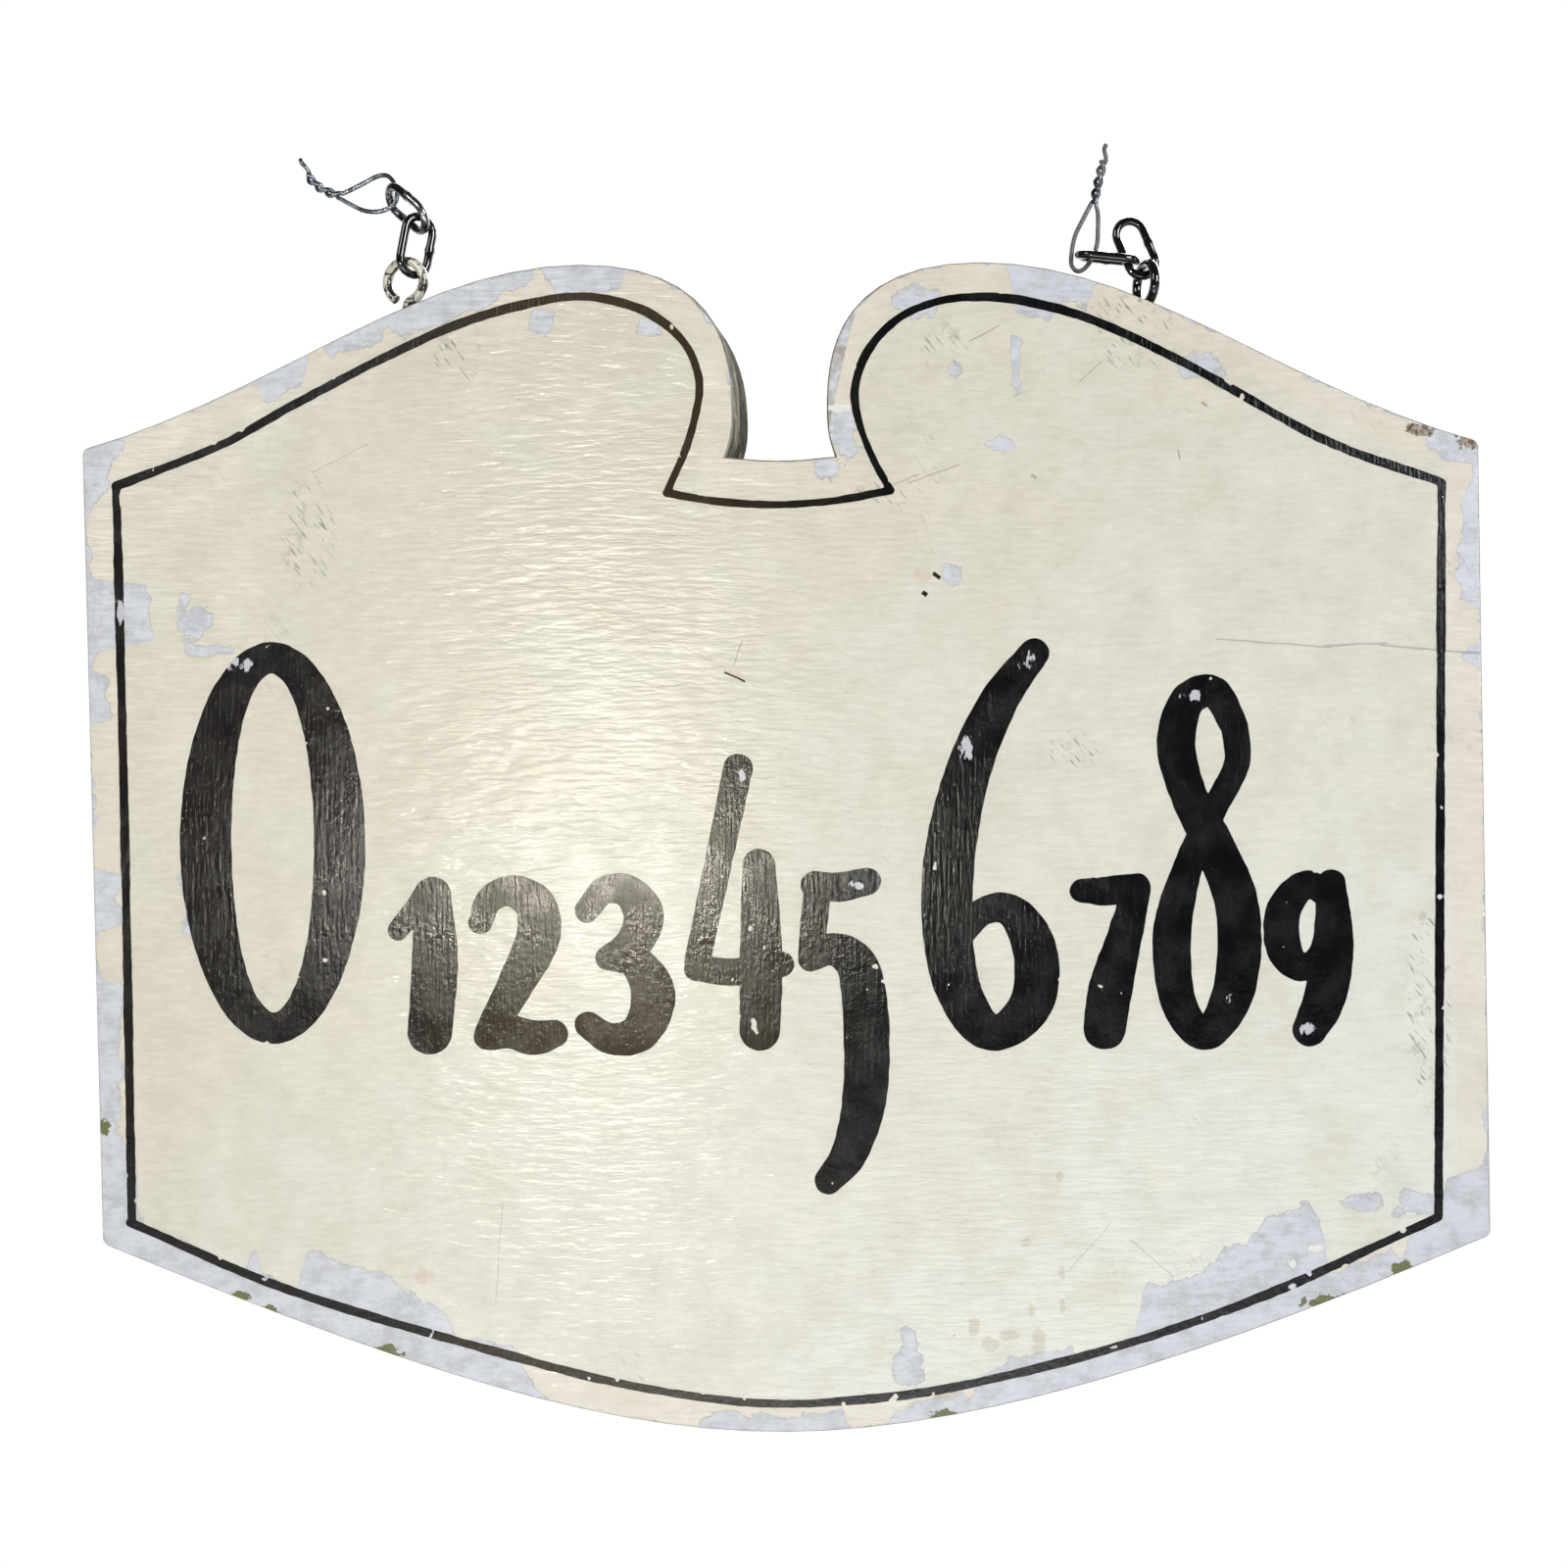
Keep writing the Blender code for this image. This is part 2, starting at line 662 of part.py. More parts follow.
def left_hanger(boards, eye_paint, lower_paint, upper_paint, wire_finish):
    """The lower link hooks up into the ring, the upper link into the lower one, and the tie wire lies out
    to the left."""
    pose = Pose(pointing(LEFT_EYE_LEAN), facing(LEFT_EYE_TURN))
    centre = Vector((EYE_OFFSET - EYE_SPACING / 2, 0, LEFT_EYE_RISE))
    eye = screw_eye("left_screw_eye", boards, centre, pose, eye_paint)
    hook = eye.pose.place([ring_mark(LEFT_HOOK_ANGLE)], eye.centre)[0]
    pose = Pose(pointing(LEFT_LOWER_LEAN), facing(LEFT_LOWER_TURN))
    inward = (eye.centre - hook).normalized()
    lower = chain_link("left_lower_link", pose, hook, inward, eye.route, EYE_WIRE, False, lower_paint)
    tell_hinge(lower, ring_tangent(eye.pose, LEFT_HOOK_ANGLE))

    pose = Pose(pointing(LEFT_UPPER_LEAN, LEFT_UPPER_BACK), facing(LEFT_UPPER_TURN))
    hook = far_end(lower)
    upper = chain_link("left_upper_link", pose, hook, -pose.along, lower.route, LINK_WIRE, False, upper_paint)
    tell_hinge(upper, upper.pose.face)

    pose = Pose(pointing(LEFT_TIE_POINTING), facing(0))
    marks = tie_marks(LEFT_TIE_LOOP, LEFT_TWIST_AXIS, LEFT_TWIST_LENGTH, LEFT_TAIL_LENGTH)
    wire = tie_wire("left_tie_wire", pose, far_end(upper), upper.route, marks, wire_finish)
    tell_hinge(wire, wire.pose.face)
    carry(wire.object, upper.object)
    carry(upper.object, lower.object)


def right_hanger(boards, eye_paint, lower_paint, upper_paint, wire_finish):
    """The lower link stands in the ring, the upper link lies out to the left from its side, and the tie
    wire stands in the upper link's far end."""
    pose = Pose(pointing(RIGHT_EYE_LEAN), facing(RIGHT_EYE_TURN))
    centre = Vector((EYE_OFFSET + EYE_SPACING / 2, 0, RIGHT_EYE_RISE))
    eye = screw_eye("right_screw_eye", boards, centre, pose, eye_paint)
    hook = eye.pose.place([ring_mark(RIGHT_HOOK_ANGLE)], eye.centre)[0]
    pose = Pose(pointing(RIGHT_LOWER_LEAN), facing(RIGHT_LOWER_TURN))
    inward = (eye.centre - hook).normalized()
    lower = chain_link("right_lower_link", pose, hook, inward, eye.route, EYE_WIRE, False, lower_paint)
    tell_hinge(lower, ring_tangent(eye.pose, RIGHT_HOOK_ANGLE))

    side_mark = (RIGHT_UPPER_HOOK_RISE, (LINK_WIRE - LINK_WIDTH) / 2, 0.0)
    hook = lower.pose.place([side_mark], lower.centre)[0]
    pose = Pose(pointing(RIGHT_UPPER_POINTING), facing(0, RIGHT_UPPER_TIP))
    upper = chain_link("right_upper_link", pose, hook, -pose.along, lower.route, LINK_WIRE, True, upper_paint)
    tell_hinge(upper, upper.pose.across)

    pose = Pose(pointing(RIGHT_TIE_POINTING), facing(0))
    marks = tie_marks(RIGHT_TIE_LOOP, RIGHT_TWIST_AXIS, RIGHT_TWIST_LENGTH, RIGHT_TAIL_LENGTH)
    hook = far_end(upper) + pose.across * RIGHT_TIE_SHIFT
    wire = tie_wire("right_tie_wire", pose, hook, upper.route, marks, wire_finish)
    tell_hinge(wire, -wire.pose.face)
    carry(wire.object, upper.object)
    carry(upper.object, lower.object)


def main():
    clear_scene()
    enamel = paint("front_enamel", (0.76, 0.72, 0.62), 0.35)
    front = board("front_board", FRONT_Y, -CLEARANCE / 2, True, enamel)
    enamel = paint("rear_enamel", (0.74, 0.70, 0.60), 0.4)
    rear = board("rear_board", CLEARANCE / 2, REAR_Y, False, enamel)
    steel = paint("screw_steel", (0.45, 0.45, 0.44), 0.45, 1.0)
    slots = screw_slots()
    for name, (x, z) in screw_places().items():
        board_screw(name, x, z, slots, steel)
    holes = screw_holes()
    cut(front, holes)
    cut(rear, holes)

    left_eye_paint = paint("cream_eye_paint", (0.50, 0.48, 0.42), 0.5, 0.2)
    right_eye_paint = paint("black_eye_paint", (0.05, 0.05, 0.05), 0.35, 0.2)
    black = paint("black_link_paint", (0.02, 0.02, 0.02), 0.3, 0.1)
    worn = paint("worn_link_paint", (0.12, 0.12, 0.13), 0.35, 0.5)
    zinc = paint("galvanised_wire", (0.55, 0.57, 0.60), 0.35, 1.0)
    dull_zinc = paint("dull_galvanised_wire", (0.25, 0.25, 0.25), 0.45, 0.9)
    left_hanger((front, rear), left_eye_paint, black, worn, zinc)
    right_hanger((front, rear), right_eye_paint, black, black, dull_zinc)


main()
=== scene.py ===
"""Looks for the painted hanging sign: enamel over an undercoat, brushed numerals, a border line and worn
hanging hardware.

Metres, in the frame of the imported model: +X to the right, the sign's face towards -Y, +Z up.
"""

from math import cos, hypot, pi, radians, sin

import bmesh
import bpy
import numpy as np
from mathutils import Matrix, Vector, noise
from mathutils.bvhtree import BVHTree


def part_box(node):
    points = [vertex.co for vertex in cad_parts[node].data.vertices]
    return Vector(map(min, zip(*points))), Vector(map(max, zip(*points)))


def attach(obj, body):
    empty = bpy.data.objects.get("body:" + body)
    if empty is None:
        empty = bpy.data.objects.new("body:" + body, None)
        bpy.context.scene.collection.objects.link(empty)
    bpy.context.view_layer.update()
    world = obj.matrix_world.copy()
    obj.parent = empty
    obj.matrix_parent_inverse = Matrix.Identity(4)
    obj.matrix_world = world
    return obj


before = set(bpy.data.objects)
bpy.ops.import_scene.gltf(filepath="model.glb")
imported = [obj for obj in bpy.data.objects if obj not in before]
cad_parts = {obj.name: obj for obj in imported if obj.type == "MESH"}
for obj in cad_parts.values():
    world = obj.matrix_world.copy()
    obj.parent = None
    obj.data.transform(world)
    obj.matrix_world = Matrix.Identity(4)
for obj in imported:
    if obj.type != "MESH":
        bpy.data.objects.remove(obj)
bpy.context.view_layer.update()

MM = 0.001
FRONT_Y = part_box("front_board")[0].y
SEAM_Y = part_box("front_board")[1].y
SIGN_MIDDLE = (0, 0, -0.3)

# The sign's outline beside its curves: both sides lean a little, and the notch is a straight slot
HALF_WIDTH = 0.381
SHOULDER_Z = -0.0938
LEFT_LEAN = 0.0196
RIGHT_LEAN = 0.0092
NOTCH_HALF_WIDTH = 0.0256
NOTCH_FLOOR_Z = -0.101
# Where the curved edges are measured
EDGE_START_X = -0.370
EDGE_SPAN = 0.748
EDGE_STEPS = 40

# Painted layers
FILM_THICKNESS = 0.00014
FILM_SINK = 0.00002
NUMERAL_CELL = 0.0009
BORDER_CELL = 0.0008
BORDER_HALF_WIDTH = 0.0024
BORDER_BOX = ((-0.372, -0.625), (0.372, -0.004))
BORDER_STEPS = 24
# The share by which the border line swells and thins, over what length, and how much thinner it is round
# the notch, out to some distance
BORDER_SWELL = 0.22
BORDER_SWELL_LENGTH = 0.03
BORDER_THINNER = 0.25
BORDER_THINNER_REACH = 0.11
NUMERAL_MARGIN = 0.02
OVAL_STEPS = 40
# A film's outline crosses the grid at least this share of a cell away from the grid's corners
LEAST_SHARE = 0.04

# How the films' edges wander and chip: the sizes of the noise, and its layer
WOBBLE_SIZE = 0.006
CHIP_SIZE = 0.0045
CHIP_PATCH_SIZE = 0.04
CHIP_DEPTH = 0.003
NOISE_LAYER = 7.0

# Shading: edges sharper than this stay sharp
SHARP_FROM = radians(55)


# Helpers for shader nodes

class Shader:
    """A material's node tree, with short calls that make a node and return its output."""

    def __init__(self, name):
        self.material = bpy.data.materials.new(name)
        self.material.use_nodes = True
        self.tree = self.material.node_tree
        self.principled = self.tree.nodes["Principled BSDF"]
        self.place = self.make("ShaderNodeTexCoord").outputs["Object"]
        parts = self.make("ShaderNodeSeparateXYZ", {"Vector": self.place})
        self.x, self.y, self.z = parts.outputs

    def make(self, kind, inputs=None, **settings):
        """Adds a node with some settings, and feeds its inputs."""
        made = self.tree.nodes.new(kind)
        for name, value in settings.items():
            setattr(made, name, value)
        for name, value in (inputs or {}).items():
            self.feed(made.inputs[name], value)
        return made

    def feed(self, socket, value):
        """Links a socket to another node's output, or sets it to a number or colour."""
        if isinstance(value, bpy.types.NodeSocket):
            self.tree.links.new(value, socket)
        elif socket.type == "RGBA" and not hasattr(value, "__len__"):
            socket.default_value = (value, value, value, 1.0)
        elif socket.type == "RGBA" and len(value) == 3:
            socket.default_value = (*value, 1.0)
        else:
            socket.default_value = value

    def math(self, operation, a, b=0.0, c=0.0):
        made = self.make("ShaderNodeMath", operation=operation)
        for socket, value in zip(made.inputs, (a, b, c)):
            self.feed(socket, value)
        return made.outputs[0]

    def ramp(self, value, low, high, to_low=0.0, to_high=1.0):
        """Smooth step of a value from low to high."""
        made = self.make("ShaderNodeMapRange", interpolation_type="SMOOTHSTEP")
        for name, number in (("Value", value), ("From Min", low), ("From Max", high), ("To Min", to_low),
                             ("To Max", to_high)):
            self.feed(made.inputs[name], number)
        return made.outputs[0]

    def stretched(self, x, y, z):
        """The place, scaled along each axis."""
        made = self.make("ShaderNodeVectorMath", {0: self.place, 1: (x, y, z)}, operation="MULTIPLY")
        return made.outputs[0]

    def noise(self, scale, detail=4.0, rough=0.55, warp=0.0, vector=None, offset=0.0):
        """Fractal noise around 0.5. Scale is in bumps per metre, or a vector of them."""
        if isinstance(scale, tuple):
            vector = self.stretched(*scale)
            scale = 1.0
        vector = vector or self.place
        if offset:
            vector = self.make("ShaderNodeVectorMath", {0: vector, 1: (offset,) * 3}).outputs[0]
        made = self.make("ShaderNodeTexNoise", {"Vector": vector, "Scale": scale, "Detail": detail,
                                                "Roughness": rough, "Distortion": warp})
        return made.outputs[0]

    def mix(self, share, a, b):
        """Colour a where the share is 0 and colour b where it is 1."""
        made = self.make("ShaderNodeMix", data_type="RGBA")
        self.feed(made.inputs[0], share)
        self.feed(made.inputs[6], a)
        self.feed(made.inputs[7], b)
        return made.outputs[2]

    def bump(self, height, distance, strength=1.0, normal=None):
        """A normal that follows a height from 0 to 1, which stands for a distance in metres."""
        made = self.make("ShaderNodeBump", {"Height": height, "Distance": distance, "Strength": strength})
        if normal:
            self.feed(made.inputs["Normal"], normal)
        return made.outputs[0]

    def finish(self, colour, roughness, normal=None, metallic=0.0):
        """Feeds the main shader and returns the material."""
        self.feed(self.principled.inputs["Base Color"], colour)
        self.feed(self.principled.inputs["Roughness"], roughness)
        self.feed(self.principled.inputs["Metallic"], metallic)
        if normal:
            self.feed(self.principled.inputs["Normal"], normal)
        return self.material


def smooth_shading(sharp_from):
    """A node group that joins a mesh's corners and shades it smooth, except at edges past an angle."""
    group = bpy.data.node_groups.new("smooth_shading", "GeometryNodeTree")
    group.interface.new_socket("Geometry", in_out="INPUT", socket_type="NodeSocketGeometry")
    group.interface.new_socket("Geometry", in_out="OUTPUT", socket_type="NodeSocketGeometry")
    joined = group.nodes.new("GeometryNodeMergeByDistance")
    joined.inputs["Distance"].default_value = 1e-6
    angle = group.nodes.new("GeometryNodeInputMeshEdgeAngle")
    sharp = group.nodes.new("FunctionNodeCompare")
    sharp.operation = "GREATER_THAN"
    sharp.inputs["B"].default_value = sharp_from
    shaded = group.nodes.new("GeometryNodeSetMeshNormal")
    shaded.mode = "SHARPNESS"
    shaded.inputs["Remove Custom"].default_value = True
    links = group.links
    links.new(group.nodes.new("NodeGroupInput").outputs[0], joined.inputs["Geometry"])
    links.new(joined.outputs["Geometry"], shaded.inputs["Mesh"])
    links.new(angle.outputs["Unsigned Angle"], sharp.inputs["A"])
    links.new(sharp.outputs["Result"], shaded.inputs["Edge Sharpness"])
    links.new(shaded.outputs["Mesh"], group.nodes.new("NodeGroupOutput").inputs[0])
    return group


def dress(node, material):
    """Gives a CAD node its material."""
    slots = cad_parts[node].data.materials
    slots.clear()
    slots.append(material)


# Painted films: outlines found on a grid, filled and given a thickness

class Field:
    """Distances to strokes on a grid over part of the sign's face: negative inside the paint."""

    def __init__(self, low, high, cell):
        self.low = low
        self.cell = cell
        self.count = (int((high[0] - low[0]) / cell) + 2, int((high[1] - low[1]) / cell) + 2)
        self.x = low[0] + np.arange(self.count[0]) * cell
        self.z = low[1] + np.arange(self.count[1]) * cell
        self.value = np.full(self.count, 1.0)

    def stroke(self, marks):
        """Adds a brush stroke through marks of x, z and width."""
        for start, end in zip(marks, marks[1:]):
            reach = max(start[2], end[2]) / 2 + 4 * self.cell
            i0, i1 = np.searchsorted(self.x, (min(start[0], end[0]) - reach, max(start[0], end[0]) + reach))
            j0, j1 = np.searchsorted(self.z, (min(start[1], end[1]) - reach, max(start[1], end[1]) + reach))
            dx = self.x[i0:i1, None] - start[0]
            dz = self.z[None, j0:j1] - start[1]
            span = (end[0] - start[0], end[1] - start[1])
            length = max(hypot(*span) ** 2, 1e-12)
            share = np.clip((dx * span[0] + dz * span[1]) / length, 0, 1)
            distance = np.hypot(dx - share * span[0], dz - share * span[1])
            distance -= (start[2] + (end[2] - start[2]) * share) / 2
            window = self.value[i0:i1, j0:j1]
            np.minimum(window, distance, out=window)

    def roughen(self, wobble, rarity):
        """Moves the edge a little in and out, and takes a few chips out of the paint."""
        for i, j in np.argwhere(self.value < 3 * self.cell):
            place = Vector((self.x[i], NOISE_LAYER, self.z[j]))
            edge = self.value[i, j] + wobble * noise.noise(place / WOBBLE_SIZE)
            chip = noise.noise(place / CHIP_SIZE) + 0.35 * noise.noise(place / CHIP_PATCH_SIZE) - rarity
            self.value[i, j] = max(edge, CHIP_DEPTH * chip)

    def film(self, name, material):
        """A thin solid of the painted area, standing on the front face."""
        mesh_data = bmesh.new()
        known = {}

        def corner(i, j):
            if (i, j) not in known:
                known[i, j] = mesh_data.verts.new((self.x[i], FRONT_Y - FILM_THICKNESS, self.z[j]))
            return known[i, j]

        def crossing(a, b):
            key = (a, b) if a < b else (b, a)
            if key not in known:
                va, vb = self.value[key[0]], self.value[key[1]]
                share = min(1 - LEAST_SHARE, max(LEAST_SHARE, va / (va - vb)))
                ends = [Vector((self.x[i], FRONT_Y - FILM_THICKNESS, self.z[j])) for i, j in key]
                known[key] = mesh_data.verts.new(ends[0].lerp(ends[1], share))
            return known[key]

        inside = self.value < 0
        near = inside[:-1, :-1] | inside[1:, :-1] | inside[1:, 1:] | inside[:-1, 1:]
        for i, j in np.argwhere(near):
            ring = ((i, j), (i + 1, j), (i + 1, j + 1), (i, j + 1))
            points = []
            for a, b in zip(ring, ring[1:] + ring[:1]):
                if inside[a]:
                    points.append(corner(*a))
                if inside[a] != inside[b]:
                    points.append(crossing(a, b))
            if len(points) > 2:
                mesh_data.faces.new(points)
        bmesh.ops.dissolve_limit(mesh_data, angle_limit=radians(1), verts=mesh_data.verts,
                                 edges=mesh_data.edges)
        mesh = bpy.data.meshes.new(name)
        mesh_data.to_mesh(mesh)
        mesh_data.free()
        made = bpy.data.objects.new(name, mesh)
        bpy.context.scene.collection.objects.link(made)
        mesh.materials.append(material)
        solid = made.modifiers.new("thickness", "SOLIDIFY")
        solid.thickness = FILM_THICKNESS + FILM_SINK
        solid.offset = -1.0
        return made


def smooth(marks, steps=10):
    """Marks in metres, along a curve through marks in millimetres, some steps from each to the next."""
    marks = [Vector(m) * MM for m in marks]
    marks = [marks[0] * 2 - marks[1]] + marks + [marks[-1] * 2 - marks[-2]]
    points = []
    for k in range(1, len(marks) - 2):
        before, start, end, after = marks[k - 1:k + 3]
        handle, end_handle = start + (end - before) / 6, end - (after - start) / 6
        for n in range(steps):
            t = n / steps
            points.append(start * (1 - t) ** 3 + handle * 3 * t * (1 - t) ** 2
                          + end_handle * 3 * t * t * (1 - t) + end * t ** 3)
    points.append(marks[-2])
    return points


def oval(middle, reach, start, end, thin, thick):
    """A stroke along an oval, thick at its sides, between two angles in degrees."""
    marks = []
    for k in range(OVAL_STEPS + 1):
        angle = radians(start + (end - start) * k / OVAL_STEPS)
        width = thin + (thick - thin) * cos(angle) ** 2
        marks.append((middle[0] + reach[0] * cos(angle), middle[1] + reach[1] * sin(angle), width))
    return marks


# Numerals as brush strokes. First how far the numeral stands to the right, then its strokes, whose marks are
# right, up from the foot of the line, and width, all in millimetres.
FOOT = -425
NUMERALS = {
    "0": (-326, [oval((48, 116), (36.5, 101), 72, 440, 17, 28)]),
    "1": (-213, [[(3, 68, 11), (11, 77, 13), (21, 88, 17)], [(22, 87, 20), (23, 50, 25), (20, 12, 24)]]),
    "2": (-169, [[(4, 72, 13), (9, 84, 15), (21, 89, 17), (34, 81, 22), (35, 63, 24), (23, 38, 20),
                  (8, 12, 15)],
                 [(8, 10, 16), (20, 12, 18), (33, 9, 19), (44, 11, 15)]]),
    "3": (-111, [[(4, 78, 13), (14, 89, 15), (27, 88, 18), (35, 75, 22), (29, 60, 19), (15, 52, 13)],
                 [(15, 52, 13), (31, 49, 18), (40, 32, 24), (33, 12, 21), (17, 8, 17), (4, 16, 14)]]),
    "4": (-47, [[(23, 155, 16), (12, 104, 15), (0, 50, 14)], [(0, 46, 14), (22, 44, 15), (46, 48, 14)],
                [(34, 102, 18), (35, 54, 23), (34, 12, 22)]]),
    "5": (9, [[(8, 91, 15), (22, 90, 16), (37, 93, 15)], [(10, 90, 15), (8, 72, 15), (6, 53, 14)],
              [(6, 51, 14), (19, 56, 18), (32, 45, 23), (36, 14, 25), (35, -24, 24), (27, -54, 20),
               (15, -70, 15)]]),
    "6": (82, [[(56, 217, 16), (36, 190, 21), (18, 148, 25), (8, 96, 28), (10, 46, 26), (23, 16, 22),
                (38, 11, 20), (54, 28, 24), (55, 56, 24), (43, 76, 18), (27, 76, 15), (13, 60, 13)]]),
    "7": (161, [[(2, 87, 13), (16, 87, 16), (32, 89, 15)],
                [(32, 87, 15), (24, 58, 20), (17, 32, 24), (14, 12, 23)]]),
    "8": (207, [[(40, 176, 15), (29, 195, 17), (14, 190, 19), (8, 166, 21), (15, 138, 20), (29, 110, 22),
                 (41, 76, 24), (39, 34, 23), (24, 9, 18), (9, 24, 19), (5, 62, 21), (14, 100, 16),
                 (29, 132, 14), (41, 156, 14), (40, 176, 15)]]),
    "9": (267, [[(30, 84, 14), (18, 90, 15), (6, 76, 19), (6, 55, 19), (16, 44, 14), (27, 55, 13),
                 (31, 80, 14)],
                [(32, 90, 16), (33, 56, 22), (28, 28, 23), (20, 11, 19)]]),
}

# The border line, as runs between its corners: right and up in millimetres
BORDER_RUNS = [
    [(-362, -114), (-358.5, -310), (-356, -515)],
    [(-357, -515.5), (-268, -553.8), (-150.6, -589.3), (-81.2, -606.8), (-11.8, -616.3), (52.3, -613.6),
     (105.8, -605.3), (186.1, -585), (266.4, -557.2), (356, -517.2)],
    [(356.4, -516.5), (358.5, -320), (360.6, -116.6)],
    [(360.6, -116.4), (297.1, -93), (224.7, -52.5), (173, -27.6), (134, -16.2), (105.8, -13.8), (84, -16.8),
     (64.6, -25.5), (49, -41.5), (41.6, -60), (41.8, -76), (49, -98), (60, -119)],
    [(60, -119), (30, -124.3), (-3.4, -126.4), (-34, -124.4), (-62, -119.6)],
    [(-62, -119.6), (-50.5, -93), (-44, -66), (-46.4, -48.5), (-56, -33), (-74.9, -19.6), (-102.6, -12.5),
     (-128.3, -14.2), (-171.1, -25.4), (-216.7, -45.4), (-267, -71.3), (-305.1, -92), (-362, -114)],
]


def numerals(material):
    """One film for each numeral."""
    for numeral, (right, strokes) in NUMERALS.items():
        moved = [[(mark[0] + right, mark[1] + FOOT, mark[2]) for mark in stroke] for stroke in strokes]
        paths = [smooth(stroke) for stroke in moved]
        xs = [mark[0] for path in paths for mark in path]
        zs = [mark[1] for path in paths for mark in path]
        low = (min(xs) - NUMERAL_MARGIN, min(zs) - NUMERAL_MARGIN)
        high = (max(xs) + NUMERAL_MARGIN, max(zs) + NUMERAL_MARGIN)
        field = Field(low, high, NUMERAL_CELL)
        for path in paths:
            field.stroke(path)
        field.roughen(wobble=0.0004, rarity=0.80)
        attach(field.film("numeral_" + numeral, material), "sign")


def border_line(material):
    """The thin line that follows the sign's outline."""
    field = Field(*BORDER_BOX, BORDER_CELL)
    for number, run in enumerate(BORDER_RUNS):
        path = smooth([(*mark, 0) for mark in run], BORDER_STEPS)
        for k, mark in enumerate(path):
            swell = noise.noise(Vector((mark.x, number, mark.y)) / BORDER_SWELL_LENGTH)
            near_notch = max(0.0, 1 - hypot(mark.x, mark.y + 0.1) / BORDER_THINNER_REACH)
            share = 1 + BORDER_SWELL * swell - BORDER_THINNER * near_notch
            path[k] = Vector((mark.x, mark.y, 2 * BORDER_HALF_WIDTH * share))
        field.stroke(path)
    field.roughen(wobble=0.0003, rarity=0.66)
    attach(field.film("border_line", material), "sign")


# Camera, light and surroundings

def camera():
    """Nearly square on, from a little right of the middle, and rolled a little, as in the photograph."""
    data = bpy.data.cameras.new("camera")
    data.lens = 40.0
    data.shift_x = -0.1
    made = bpy.data.objects.new("camera", data)
    made.location = (0.0865, FRONT_Y - 0.95, -0.2792)
    made.rotation_euler = (pi / 2, radians(0.36), 0)
    bpy.context.scene.collection.objects.link(made)
    bpy.context.scene.camera = made


def lamp(name, place, target, size, watts, colour=(1, 1, 1)):
    """A soft rectangular lamp that faces a target."""
    data = bpy.data.lights.new(name, "AREA")
    data.shape = "RECTANGLE"
    data.size, data.size_y = size
    data.energy = watts
    data.color = colour
    made = bpy.data.objects.new(name, data)
    made.location = place
    made.rotation_euler = (Vector(target) - Vector(place)).to_track_quat("-Z", "Y").to_euler()
    bpy.context.scene.collection.objects.link(made)


def flat(name, corners, material):
    """A flat face of the stage."""
    mesh = bpy.data.meshes.new(name)
    mesh.from_pydata(corners, [], [range(len(corners))])
    made = bpy.data.objects.new(name, mesh)
    mesh.materials.append(material)
    bpy.context.scene.collection.objects.link(made)


def pale(name, glow):
    """A pale material that looks brighter to the camera and in mirror images than it lights other things."""
    s = Shader(name)
    path = s.make("ShaderNodeLightPath")
    seen = s.math("MAXIMUM", path.outputs["Is Camera Ray"], path.outputs["Is Glossy Ray"])
    seen = s.math("MAXIMUM", seen, path.outputs["Is Transmission Ray"])
    share = s.math("MULTIPLY", seen, glow)
    s.feed(s.principled.inputs["Emission Color"], 1.0)
    s.feed(s.principled.inputs["Emission Strength"], share)
    return s.finish(s.mix(share, (0.8, 0.8, 0.8), (0.0, 0.0, 0.0)), 0.8)


def surroundings():
    """The pale floor and backdrop, the world and the lamps."""
    bpy.context.scene.view_settings.view_transform = "Standard"
    near, far, side, low, high = -6, 2.2, 6, -1.8, 4
    ground = [(-side, near, low), (side, near, low), (side, far, low), (-side, far, low)]
    behind = [(-side, far, low), (side, far, low), (side, far, high), (-side, far, high)]
    flat("floor", ground, pale("floor", 0.6))
    flat("backdrop", behind, pale("backdrop", 1.0))

    world = bpy.data.worlds.new("room")
    bpy.context.scene.world = world
    world.use_nodes = True
    tree = world.node_tree
    path = tree.nodes.new("ShaderNodeLightPath")
    mix = tree.nodes.new("ShaderNodeMix")
    mix.data_type = "FLOAT"
    mix.inputs[2].default_value = 0.06
    mix.inputs[3].default_value = 1.0
    tree.links.new(path.outputs["Is Camera Ray"], mix.inputs[0])
    tree.links.new(mix.outputs[0], tree.nodes["Background"].inputs["Strength"])
    tree.nodes["Background"].inputs["Color"].default_value = (1, 1, 1, 1)

    lamp("key", (-1.5, -1.7, 0.9), SIGN_MIDDLE, (0.8, 0.8), 12.2)
    lamp("fill", (1.7, -1.6, 0.5), SIGN_MIDDLE, (0.9, 0.9), 34)
    lamp("low", (0.0, -1.6, -1.5), SIGN_MIDDLE, (1.6, 0.6), 8.5)
    lamp("back", (0.8, 1.9, 1.2), SIGN_MIDDLE, (1.6, 1.6), 55)
    lamp("glare", (-0.30, FRONT_Y - 1.0, -0.37), (-0.1, 0, -0.32), (0.07, 0.07), 3.5, (1, 0.96, 0.82))


# Where the sign's edge is, and what is marked on its face

def edge_marks(down):
    """Marks of place and height along the front board's top edge, met going down, or its bottom edge."""
    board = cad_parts["front_board"]
    tree = BVHTree.FromPolygons([v.co for v in board.data.vertices],
                                [p.vertices for p in board.data.polygons])
    way = Vector((0, 0, -1 if down else 1))
    marks = []
    for k in range(EDGE_STEPS + 1):
        x = EDGE_START_X + k / EDGE_STEPS * EDGE_SPAN
        hit = tree.ray_cast(Vector((x, FRONT_Y / 2, SIGN_MIDDLE[2])) - way * 0.5, way)[0]
        marks.append((x, hit.z))
    return marks


